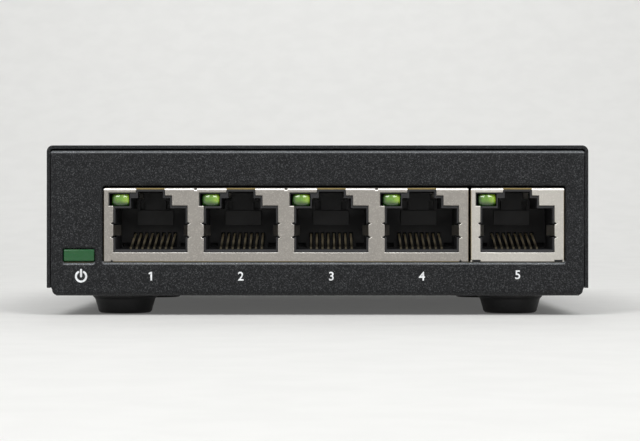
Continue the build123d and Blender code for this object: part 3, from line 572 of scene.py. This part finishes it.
def board_finish(name, mask, trace, laminate):
    """Circuit board: varnish over copper lines on both faces, and the bare laminate at its edge."""
    tree, main = shader(name, Coat_Weight=0.3, Coat_Roughness=0.15)
    coords = tree.node("TexCoord").outputs
    cells = tree.node("TexVoronoi", {"Vector": coords["Object"], "Scale": 130.0},
                      distance="CHEBYCHEV")
    pick = tree.node("SeparateColor", {"Color": cells.outputs["Color"]}).outputs[0]
    axis = tree.split(coords["Object"])
    lines = []
    for way in (0, 1):
        stripe = tree.maths("PINGPONG", tree.maths("MULTIPLY", axis[way], 1700.0), 1.0)
        lines.append(tree.mask(stripe, 0.52, 0.6))
    choose = tree.maths("GREATER_THAN", pick, 0.5)
    drawn = tree.maths("ADD", tree.maths("MULTIPLY", lines[0], choose),
                       tree.maths("MULTIPLY", lines[1], tree.maths("SUBTRACT", 1.0, choose)))
    run = tree.maths("MULTIPLY", drawn, tree.maths("GREATER_THAN", pick, 0.22))
    face = tree.mix(run, mask, trace)
    up = tree.maths("ABSOLUTE", tree.split(coords["Normal"])[2])
    flat = tree.maths("GREATER_THAN", up, 0.6)
    weave = grouped(tree, "Grain", Size=0.0004, Stretch=(0.3, 0.3, 2.4), Coverage=0.5)
    edge = tree.mix(weave["Fleck"], shade(laminate, 0.7), laminate)
    tree.put(main.inputs["Base Color"], tree.mix(flat, edge, face))
    tree.put(main.inputs["Roughness"], tree.ramp(flat, 0, 1, 0.7, 0.3))
    bump(tree, main, tree.maths("MULTIPLY", run, flat), 0.00002)


def looked_at(tree):
    """One for the rays of the camera and of mirroring or clear surfaces, nought for the light's."""
    path = tree.node("LightPath").outputs
    return tree.maths("MAXIMUM", path["Is Camera Ray"],
                      tree.maths("MAXIMUM", path["Is Glossy Ray"], path["Is Transmission Ray"]))


def paper_finish(name, value):
    """Plain paper for the floor and backdrop, lifted towards white where it is looked at."""
    lift = 0.12
    tree, main = shader(name, Roughness=0.85, Specular_IOR_Level=0.2)
    grain = grouped(tree, "Grain", Size=0.0011, Coverage=0.5)
    tree.put(main.inputs["Base Color"], tree.mix(grain["Cloud"], shade(value, 0.97), value))
    tree.put(main.inputs["Emission Color"], value)
    tree.put(main.inputs["Emission Strength"], tree.maths("MULTIPLY", looked_at(tree), lift))
    bump(tree, main, grain["Height"], 0.00004, 0.4)


def build_finishes():
    """Every material of the object and the stage, from the scene's settings."""
    build_grain_group()
    build_wear_group()
    case, sockets, board = settings("case"), settings("sockets"), settings("board")
    paint_finish("Powder Coat", case.paint, case.fleck, case.fleck_size)
    # A painted highlight: lighter paint for the window rims' upward faces.
    paint_finish("Painted Rim Highlight", case.rubbed, case.rubbed_fleck, case.fleck_size)
    moulded_finish("Rubber", case.rubber, 0.5, 0.0002, 0.1)
    plated_finish("Blackened Steel", case.screw, 0.42, 0.00012)
    moulded_finish("Ink", settings("print").ink, 0.6, 0.00012, 0.06, 0.3)
    plated_finish("Tin Plate", sockets.shield, 0.38, sockets.grain, depth=0.09, dull=0.76,
                  mottle=0.84)
    # A painted highlight for the shields' upward-facing edges.
    plated_finish("Painted Edge Highlight Plate", sockets.burnished, 0.3, sockets.grain)
    plated_finish("Bright Tin Plate", sockets.bright, 0.36, sockets.grain, depth=0.07, dull=0.88,
                  mottle=0.94)
    plated_finish("Bare Brass", sockets.bare, 0.4, sockets.grain)
    moulded_finish("Socket Plastic", sockets.plastic, 0.5, 0.00014)
    # Painted shade: the inserts get a darker copy of the housings' plastic.
    moulded_finish("Insert Plastic Painted Shade", sockets.insert, 0.55, 0.00014)
    # The contacts carry painted shade: nearly black near their foot, their own colour from seven
    # tenths of their height up.
    low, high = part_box("port_1_contacts")
    plated_finish("Gold Plate", sockets.contact, 0.55, 0.00006, (4, 1, 4),
                  painted_shade_heights=(low.z + 0.5 * MM, low.lerp(high, 0.7).z))
    # The link lights' lens gets a painted shade and a painted glow.
    lens_finish("Green Lens", sockets.light, 0.0009, (sockets.light_deep, sockets.light_pale))
    lens_finish("Power Lens", sockets.power, 0.0014)
    moulded_finish("Inlet Plastic", sockets.inlet, 0.38, 0.00018)
    board_finish("Circuit Board", board.mask, board.trace, board.laminate)
    moulded_finish("Package Resin", board.package, 0.6, 0.00016, 0.16)
    moulded_finish("Ceramic", board.ceramic, 0.4, 0.0001, 0.05)
    plated_finish("Solder", board.solder, 0.3, 0.0002)
    plated_finish("Zinc Plate", board.solder, 0.28, 0.0003, (1, 1, 5))
    plated_finish("Brass", board.brass, 0.3, 0.0002, (1, 1, 6))
    plated_finish("Can Aluminium", board.solder, 0.34, 0.00012, (1, 1, 0.2))
    moulded_finish("Ferrite", shade(board.package, 1.6), 0.7, 0.0003, 0.2)
    moulded_finish("Indicator White", tone(226, 226, 220), 0.4, 0.0001, 0.05)
    paper_finish("Paper", settings("stage").floor)


def finish(*names):
    """The materials of these names."""
    return [bpy.data.materials[name] for name in names]


# ---- Case ----

class BuildTray(Operator):
    """Folded tray, its cut edges softened by the paint, with a painted highlight where they face
    upwards
    """
    bl_idname = "switch.build_tray"
    bl_label = "Tray"

    def execute(self, context):
        case = settings("case")
        mesh = node_copy("bottom_tray")
        low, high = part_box("bottom_tray")
        windows = [edge for edge in sharp_edges(mesh.edges)
                   if all(abs(vert.co.y - low.y) < LEVEL for vert in edge.verts)]
        round_edges(mesh, case.rim_edge, 6, windows, clamp=False)
        round_edges(mesh, case.edge)
        # The ink lies in front of the paint, and paint fills the slit at each end of the rear panel.
        painted = low.y + settings("print").thickness
        cover_sheet, slit, rear_fold = 0.62 * MM, 0.4 * MM, 1.2 * MM
        cover_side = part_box("top_cover")[1].x - cover_sheet
        for vert in mesh.verts:
            vert.co.y = max(vert.co.y, painted)
            if vert.co.y > high.y - rear_fold and abs(vert.co.x) > cover_side - slit:
                vert.co.x = math.copysign(cover_side, vert.co.x)
        # Rim faces that face upwards get the lighter paint: a painted highlight.
        spread(mesh, 1, lambda centre, normal: normal.z > 0.35 and normal.y < -0.25
               and centre.y < low.y + case.rim_edge)
        add_piece("folded_tray", mesh, finish("Powder Coat", "Painted Rim Highlight"), ["bottom_tray"])
        return {"FINISHED"}


class BuildCover(Operator):
    """Folded cover with its side vents"""
    bl_idname = "switch.build_cover"
    bl_label = "Cover"

    def execute(self, context):
        dress("folded_cover", "top_cover", settings("case").edge, "Powder Coat")
        return {"FINISHED"}


def screw(profile, head, place):
    """A turned screw with a cross recess in its head, whose face stands at this height."""
    mesh = turned(bmesh.new(), profile, place)
    for turn in (0, math.pi / 2):
        cutter = bmesh.new()
        bmesh.ops.create_cube(cutter, size=1)
        for vert in cutter.verts:
            long, thick, rise = (0.5, 0.2, -0.45) if vert.co.z < 0 else (1.0, 0.26, 0.2)
            vert.co.x *= RECESS * long
            vert.co.y *= RECESS * thick
            vert.co.z = head + RECESS * rise
        bmesh.ops.transform(cutter, matrix=place @ Matrix.Rotation(turn, 4, "Z"),
                            verts=cutter.verts)
        mesh = carved(mesh, cutter)
    return mesh


def thread(top, bottom):
    """Profile points of a thread's roots and crests, down the screw to its tip."""
    root, tip = SHANK * 0.86, SHANK * 0.7
    points = []
    for i in range(int((top - bottom) / PITCH)):
        height = top - i * PITCH
        points += [(root, height - PITCH * 0.1), (SHANK, height - PITCH * 0.5)]
    return points + [(root, bottom + PITCH * 0.4), (tip, bottom), (0, bottom)]


class BuildCoverScrews(Operator):
    """Countersunk screws that hold the cover's sides"""
    bl_idname = "switch.build_cover_screws"
    bl_label = "Cover Screws"

    def execute(self, context):
        low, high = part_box("cover_screws")
        middle = (low + high) / 2
        mesh = bmesh.new()
        rim, face = 2.7 * MM, -0.03 * MM
        profile = [(0, face), (rim * 0.7, -0.05 * MM), (rim * 0.93, -0.12 * MM),
                   (rim * 0.985, -0.22 * MM), (rim * 0.96, -0.3 * MM), (SHANK, -0.78 * MM),
                   *thread(-0.9 * MM, -5 * MM)]
        for side in (-1, 1):
            place = Matrix.Translation((high.x * side, middle.y, middle.z)) @ \
                Matrix.Rotation(side * math.pi / 2, 4, "Y")
            join(mesh, screw(profile, face, place))
        add_piece("cover_screw_pair", mesh, finish("Blackened Steel"), ["cover_screws"])
        return {"FINISHED"}


class BuildFeet(Operator):
    """Moulded rubber feet with a rim, a drawn-in neck and a rounded sole"""
    bl_idname = "switch.build_feet"
    bl_label = "Feet"

    def execute(self, context):
        case, taper, eased = settings("case"), 0.95 * MM, 0.15 * MM
        dish = [(2.6 * MM, 0), (2.4 * MM, 0.12 * MM), (1.9 * MM, 0.22 * MM), (0, 0.25 * MM)]
        for name in ("foot_front_left", "foot_front_right", "foot_rear_left", "foot_rear_right"):
            low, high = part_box(name)
            middle = (low + high) / 2
            top, rim = high.z, (high.x - low.x) / 2
            waist, base, sole = rim - case.neck, rim - taper, case.sole
            rise = bent([(rim, 0, top), (rim, 0, top - case.rim), (waist, 0, top - 1.75 * case.rim),
                         (base, 0, sole)], case.rim * 0.3, 3)
            rise = [(point.x, point.z) for point in rise]
            turn = [(base - sole * (1 - math.cos(a)), sole * (1 - math.sin(a)))
                    for a in (math.radians(d) for d in range(15, 91, 15))]
            mesh = turned(bmesh.new(), [(0, top), (rim - eased, top), *rise, *turn, *dish],
                          Matrix.Translation((middle.x, middle.y, 0)), 72)
            add_piece("rubber_" + name, mesh, finish("Rubber"), [name])
        return {"FINISHED"}


class BuildPrint(Operator):
    """Port numerals and power symbol in ink on the front panel"""
    bl_idname = "switch.build_print"
    bl_label = "Print"

    def execute(self, context):
        style = settings("print")
        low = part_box("bottom_tray")[0]
        forms = {}
        for port in PORTS:
            height = low.z + style.baseline + (style.raised if port == PORTS[-1] else 0)
            place = (port_centre(port), low.y, height)
            forms[f"numeral_{port}"] = self.numeral(str(port), place, style)
        left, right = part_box("power_light_pipe")
        drop = 0.04 * MM
        centre = Vector(((left.x + right.x) / 2 + style.aside, low.y,
                         low.z + style.baseline - drop))
        forms["power_symbol"] = self.symbol(centre, style)
        for name, form in forms.items():
            add_piece(name, form, finish("Ink"), smooth=20)
        return {"FINISHED"}

    @staticmethod
    def depth(style):
        """Depth of an ink form: what stands on the paint and a little that is sunk in it."""
        return style.thickness * 1.4

    @staticmethod
    def one(style):
        """The flat outline of a one with a flag."""
        mesh = bmesh.new()
        tall, thick = style.numeral, style.numeral * 0.19
        line = [(0, 0), (thick, 0), (thick, tall), (thick * 0.15, tall),
                (-1.15 * thick, tall * 0.83), (-0.8 * thick, tall * 0.69), (0, tall * 0.78)]
        mesh.faces.new([mesh.verts.new((x, y, 0)) for x, y in line])
        return mesh

    @staticmethod
    def written(text, style):
        """The flat outline of a numeral in the plain built-in type."""
        curve = bpy.data.curves.new("numeral", "FONT")
        curve.body, curve.size = text, 1.0
        letter = linked("numeral", curve)
        bpy.context.view_layer.update()
        plain = bpy.data.meshes.new_from_object(letter)
        low, high = extent(plain.vertices)
        curve.size = (style.numeral - 2 * style.weight) / (high.y - low.y)
        curve.offset = style.weight
        bpy.context.view_layer.update()
        mesh = bmesh.new()
        mesh.from_mesh(bpy.data.meshes.new_from_object(letter))
        bpy.data.objects.remove(letter)
        bpy.data.curves.remove(curve)
        bmesh.ops.remove_doubles(mesh, verts=mesh.verts, dist=WELD)
        return mesh

    def numeral(self, text, centre, style):
        """One numeral as a thin raised form, its middle at the centre."""
        mesh = self.one(style) if text == "1" else self.written(text, style)
        low, high = extent(mesh.verts)
        place = Matrix.Translation(centre) @ Matrix.Rotation(math.pi / 2, 4, "X") \
            @ Matrix.Translation((low + high) / -2)
        bmesh.ops.transform(mesh, matrix=place, verts=mesh.verts)
        out = bmesh.ops.extrude_face_region(mesh, geom=mesh.faces[:])["geom"]
        bmesh.ops.translate(mesh, vec=(0, self.depth(style), 0), verts=vertices(out))
        bmesh.ops.recalc_face_normals(mesh, faces=mesh.faces)
        return mesh

    def symbol(self, centre, style):
        """An open ring with an upright bar in its gap, all of their ends round."""
        mesh = bmesh.new()
        middle, half = (style.symbol - style.stroke) / 2, style.stroke / 2
        deep, bar = self.depth(style), style.symbol * 0.53
        ring = [Vector((math.sin(a) * middle, 0, math.cos(a) * middle))
                for a in (math.radians(d) for d in range(32, 329, 8))]
        path = [centre + point + Vector((0, deep / 2, 0)) for point in ring]
        ribbon(mesh, path, Vector((0, 1, 0)), deep, style.stroke)
        # The round ends stop a little short of both faces, so that no faces lie in one plane.
        end, inset = deep * 0.98, deep * 0.99
        for place in (ring[0], ring[-1], Vector(), Vector((0, 0, bar))):
            turned(mesh, [(0, 0), (half, 0), (half, end), (0, end)],
                   Matrix.Translation(centre + place + Vector((0, inset, 0)))
                   @ Matrix.Rotation(math.pi / 2, 4, "X"), 20)
        block(mesh, centre - Vector((half, 0, 0)), centre + Vector((half, deep, bar)))
        return mesh


# ---- Sockets ----

class BuildShields(Operator):
    """Plated shells of the ganged sockets and of the single one"""
    bl_idname = "switch.build_shields"
    bl_label = "Shields"

    def execute(self, context):
        bend, roll = settings("sockets").bend, settings("sockets").roll
        latch_half, beside, slack = 2.45 * MM, 3 * MM, 0.05

        def aside(x):
            """How far across a point is from the nearest port's middle."""
            return min(abs(x - port_centre(port)) for port in PORTS)

        for name, plate in (("quad_jack_shield", "Tin Plate"),
                            ("single_jack_shield", "Bright Tin Plate")):
            low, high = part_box(name)
            mesh = node_copy(name)
            base = min(vert.co.z for vert in mesh.verts if vert.co.y < low.y + LEVEL)
            fold = [edge for edge in sharp_edges(mesh.edges)
                    if edge.is_convex and abs(edge.calc_face_angle(0) - math.pi / 4) < slack
                    and all(vert.co.y < low.y + MM and vert.co.z > high.z - MM
                            for vert in edge.verts)]
            ends = {round(vert.co.x, 6) for edge in fold for vert in edge.verts
                    if aside(vert.co.x) < beside}
            round_edges(mesh, bend, 4, fold)
            cut = [edge for edge in sharp_edges(mesh.edges)
                   if all(vert.co.y < low.y + LEVEL for vert in edge.verts)]
            round_edges(mesh, roll, 4, cut)
            for end in ends:
                bmesh.ops.bisect_plane(mesh, geom=mesh.verts[:] + mesh.edges[:] + mesh.faces[:],
                                       plane_co=(end, 0, 0), plane_no=(1, 0, 0))
            # Upward edges get a painted highlight. Brass shows at the foot, the ends and over
            # latches.
            spread(mesh, 2, lambda centre, normal: centre.y < low.y + bend
                   and normal.z > 0.3 and normal.y < -0.2)
            spread(mesh, 1, lambda centre, _: centre.y < low.y + bend and (
                centre.z < base + roll / 2
                or min(centre.x - low.x, high.x - centre.x) < roll / 2
                or centre.z > high.z - 1.6 * bend and aside(centre.x) < latch_half))
            add_piece("plated_" + name, mesh, finish(plate, "Bare Brass", "Painted Edge Highlight Plate"),
                      [name])
        return {"FINISHED"}


class BuildHousings(Operator):
    """Moulded frames inside the shields"""
    bl_idname = "switch.build_housings"
    bl_label = "Housings"

    def execute(self, context):
        for name in ("quad_jack_housing", "single_jack_housing"):
            dress("moulded_" + name, name, 0.07 * MM, "Socket Plastic")
        return {"FINISHED"}


class BuildInserts(Operator):
    """Moulded floors, back walls and contact combs"""
    bl_idname = "switch.build_inserts"
    bl_label = "Inserts"

    def execute(self, context):
        for port in PORTS:
            node = f"port_{port}_insert"
            # The inserts' darker plastic is painted shade.
            dress("moulded_" + node, node, 0.05 * MM, "Insert Plastic Painted Shade")
        return {"FINISHED"}


def drawn_wires(node):
    """A CAD node's wires with round bends and softened edges."""
    mesh = node_copy(node)
    bend, edge_radius, across = 0.11 * MM, 0.13 * MM, 0.9
    turns = [edge for edge in sharp_edges(mesh.edges, 12)
             if abs((edge.verts[0].co - edge.verts[1].co).normalized().x) > across]
    round_edges(mesh, bend, 3, turns)
    return round_edges(mesh, edge_radius, 3)


class BuildContacts(Operator):
    """Spring contacts, and the fixed wires that they rise from"""
    bl_idname = "switch.build_contacts"
    bl_label = "Contacts"

    def execute(self, context):
        for port in PORTS:
            for kind, body in (("contacts", f"port_{port}_contact_springs"), ("terminals", CASE)):
                node = f"port_{port}_{kind}"
                add_piece("plated_" + node, drawn_wires(node), finish("Gold Plate"), [node], body)
        return {"FINISHED"}


class BuildLights(Operator):
    """Link lights, and the power light's pipe and indicator"""
    bl_idname = "switch.build_lights"
    bl_label = "Lights"

    def execute(self, context):
        for port in PORTS:
            node = f"port_{port}_led"
            add_piece("lens_" + node, self.link_light(node), finish("Green Lens", "Solder"),
                      [node])
        dress("clear_light_pipe", "power_light_pipe", 0.12 * MM, "Power Lens", 3)
        dress("chip_indicator", "power_led", 0.06 * MM, "Indicator White")
        return {"FINISHED"}

    @staticmethod
    def link_light(node):
        """An indicator with a domed face, on its two leads."""
        # Only the leads stay from the CAD: the lens is made anew, fine enough for its dome.
        mesh = node_copy(node)
        front = extent(mesh.verts)[0].y
        low, high = extent(vert for vert in mesh.verts if vert.co.y < front + 2 * MM)
        high.y = max(vert.co.y for vert in mesh.verts if vert.co.z > high.z - LEVEL)
        shell = [face for face in mesh.faces if face.calc_center_median().y < high.y + LEVEL]
        bmesh.ops.delete(mesh, geom=shell, context="FACES")
        bmesh.ops.holes_fill(mesh, edges=[edge for edge in mesh.edges if edge.is_boundary])
        spread(mesh, 1, lambda *_: True)
        round_edges(mesh, 0.05 * MM)
        part = block(bmesh.new(), low, high)
        bmesh.ops.subdivide_edges(part, edges=part.edges, cuts=11, use_grid_fill=True)
        middle, half = (low + high) / 2, (high - low) / 2
        sides, ends = 0.45 * MM, 0.28 * MM      # how far the face falls back at its borders
        face_map = part.loops.layers.uv.new("Face")
        for face in part.faces:
            for loop in face.loops:
                loop[face_map].uv = ((loop.vert.co.x - low.x) / (high.x - low.x),
                                     (loop.vert.co.z - low.z) / (high.z - low.z))
        for vert in part.verts:
            if vert.co.y < low.y + LEVEL:
                across = (vert.co.x - middle.x) / half.x
                up = (vert.co.z - middle.z) / half.z
                vert.co.y += sides * across ** 2 + ends * up ** 2
        return join(mesh, part)


class BuildInlet(Operator):
    """Barrel power inlet with its pin and solder strips"""
    bl_idname = "switch.build_inlet"
    bl_label = "Power Inlet"

    def execute(self, context):
        for node, edge, material in (("dc_jack_body", 0.12, "Inlet Plastic"),
                                     ("dc_jack_pin", 0.1, "Zinc Plate"),
                                     ("dc_jack_terminals", 0.05, "Solder")):
            dress("inlet_" + node, node, edge * MM, material)
        return {"FINISHED"}


# ---- Board ----

class BuildBoard(Operator):
    """Circuit board with its standoffs and screws"""
    bl_idname = "switch.build_board"
    bl_label = "Board"

    def execute(self, context):
        dress("etched_board", "circuit_board", 0.05 * MM, "Circuit Board")
        dress("brass_standoffs", "board_standoffs", 0.12 * MM, "Brass")
        low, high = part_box("board_screws")
        middle = (low + high) / 2
        head, seat = 2.8 * MM, -1.9 * MM
        profile = [(0, 0), (head * 0.86, 0), (head, -0.3 * MM), (head, seat), (SHANK, seat),
                   *thread(-2 * MM, low.z - high.z)]
        mesh = bmesh.new()
        for side in (-1, 1):
            place = Matrix.Translation((middle.x + side * (high.x - low.x - 2 * head) / 2,
                                        middle.y, high.z))
            join(mesh, screw(profile, 0, place))
        add_piece("cheese_head_screws", mesh, finish("Zinc Plate"), ["board_screws"])
        return {"FINISHED"}


class BuildTransformers(Operator):
    """Isolation transformers with bent leads"""
    bl_idname = "switch.build_transformers"
    bl_label = "Transformers"

    def execute(self, context):
        leads, slack = 1.3 * MM, 1e-5
        for port in PORTS:
            node = f"port_{port}_transformer"
            mesh = round_edges(node_copy(node), 0.05 * MM)
            low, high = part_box(node)
            front, back = low.y + leads - slack, high.y - leads + slack
            spread(mesh, 1, lambda centre, _: not front < centre.y < back)
            add_piece("dressed_" + node, mesh, finish("Package Resin", "Solder"), [node])
        return {"FINISHED"}


class BuildParts(Operator):
    """Chips, power parts and the small parts round them"""
    bl_idname = "switch.build_parts"
    bl_label = "Board Parts"

    def execute(self, context):
        for node, edge, material in (
                ("switch_chip", 0.05, "Package Resin"), ("crystal", 0.2, "Zinc Plate"),
                ("flash_chip", 0.05, "Package Resin"), ("protection_diode", 0.08, "Package Resin"),
                ("input_fuse", 0.06, "Ceramic"), ("voltage_regulator", 0.08, "Package Resin"),
                ("power_inductor", 0.15, "Ferrite"), ("chip_capacitors", 0.06, "Ceramic"),
                ("chip_resistors", 0.05, "Package Resin")):
            dress("dressed_" + node, node, edge * MM, material)
        moulded_base = 1.19 * MM
        for node in ("input_capacitor", "output_capacitor"):
            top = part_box(node)[0].z + moulded_base
            mesh = round_edges(node_copy(node), 0.25 * MM, 3)
            spread(mesh, 1, lambda centre, _: centre.z < top)
            add_piece("dressed_" + node, mesh, finish("Can Aluminium", "Package Resin"), [node])
        return {"FINISHED"}


# ---- Stage ----

class BuildStage(Operator):
    """Paper floor and backdrop, lamps, room and camera"""
    bl_idname = "switch.build_stage"
    bl_label = "Stage"

    def execute(self, context):
        stage = settings("stage")
        mesh = bmesh.new()
        front, wall, top, side, curve = -1.6, 0.75, 1.5, 1.6, 0.45
        sweep = bent([(-side, front, 0), (-side, wall, 0), (-side, wall, top)], curve, 14)
        verts = [mesh.verts.new(point) for point in sweep]
        edges = [mesh.edges.new(pair) for pair in zip(verts, verts[1:])]
        out = bmesh.ops.extrude_edge_only(mesh, edges=edges)["geom"]
        bmesh.ops.translate(mesh, vec=(2 * side, 0, 0), verts=vertices(out))
        for face in mesh.faces:
            face.smooth = True
        paper = linked("paper_sweep", mesh_data("paper_sweep", mesh))
        paper.data.materials.append(*finish("Paper"))

        middle = Vector((0, 0, 0.015))
        for name, place, wide, deep, watts in (
                ("overhead", (0, -0.5, 0.68), 0.7, 0.1, stage.overhead),
                ("key_left", (-0.36, -0.6, 0.6), 0.36, 0.3, stage.key),
                ("key_right", (0.36, -0.6, 0.6), 0.36, 0.3, stage.key),
                ("back_fill", (0, 0.65, 0.45), 0.36, 0.36, stage.fill)):
            lamp = bpy.data.lights.new(name, "AREA")
            lamp.shape, lamp.size, lamp.size_y, lamp.energy = "RECTANGLE", wide, deep, watts
            holder = linked(name, lamp)
            holder.location = place
            aim = middle - Vector(place)
            holder.rotation_euler = aim.to_track_quat("-Z", "Y").to_euler()

        world = bpy.data.worlds.new("Plain Room")
        world.use_nodes = True
        room = Tree(world.node_tree)
        sky = world.node_tree.nodes["Background"].inputs
        room.put(sky["Color"], (1, 1, 1))
        room.put(sky["Strength"], room.ramp(looked_at(room), 0, 1, stage.room, stage.seen))
        context.scene.world = world

        view = bpy.data.cameras.new("front_camera")
        view.lens, view.sensor_width = stage.lens, 36
        view.clip_start = 0.01
        camera = linked("front_camera", view)
        aside = 0.43 * MM
        camera.location = (aside, CAD_BOX[0][1] - stage.distance, stage.height)
        camera.rotation_euler = (math.pi / 2, 0, 0)
        context.scene.camera = camera
        context.scene.view_settings.view_transform = "Standard"
        return {"FINISHED"}


# ---- Panel and registration ----

GROUPS = {"case": CaseSettings, "print": PrintSettings, "sockets": SocketSettings,
          "board": BoardSettings, "stage": StageSettings}
BUILDERS = {"case": (BuildTray, BuildCover, BuildCoverScrews, BuildFeet), "print": (BuildPrint,),
            "sockets": (BuildShields, BuildHousings, BuildInserts, BuildContacts, BuildLights,
                        BuildInlet),
            "board": (BuildBoard, BuildTransformers, BuildParts), "stage": (BuildStage,)}


class SwitchPanel(Panel):
    """Settings and builders of the network switch"""
    bl_idname = "VIEW3D_PT_network_switch"
    bl_label = "Network Switch"
    bl_space_type = "VIEW_3D"
    bl_region_type = "UI"
    bl_category = "Switch"

    def draw(self, context):
        for name, builders in BUILDERS.items():
            box = self.layout.box()
            box.label(text=name.title())
            for key in GROUPS[name].__annotations__:
                box.prop(settings(name), key)
            for builder in builders:
                box.operator(builder.bl_idname)


def classes():
    """Every class that Blender has to know."""
    return [*GROUPS.values(), *(item for items in BUILDERS.values() for item in items),
            SwitchPanel]


def register():
    for item in classes():
        bpy.utils.register_class(item)
    for name, group in GROUPS.items():
        setattr(bpy.types.Scene, "switch_" + name, PointerProperty(type=group))


def unregister():
    for name in GROUPS:
        delattr(bpy.types.Scene, "switch_" + name)
    for item in reversed(classes()):
        bpy.utils.unregister_class(item)


def main():
    """Builds every piece and the stage."""
    register()
    build_finishes()
    for builders in BUILDERS.values():
        for builder in builders:
            group, name = builder.bl_idname.split(".")
            getattr(getattr(bpy.ops, group), name)()
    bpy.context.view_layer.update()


if __name__ == "__main__":
    main()
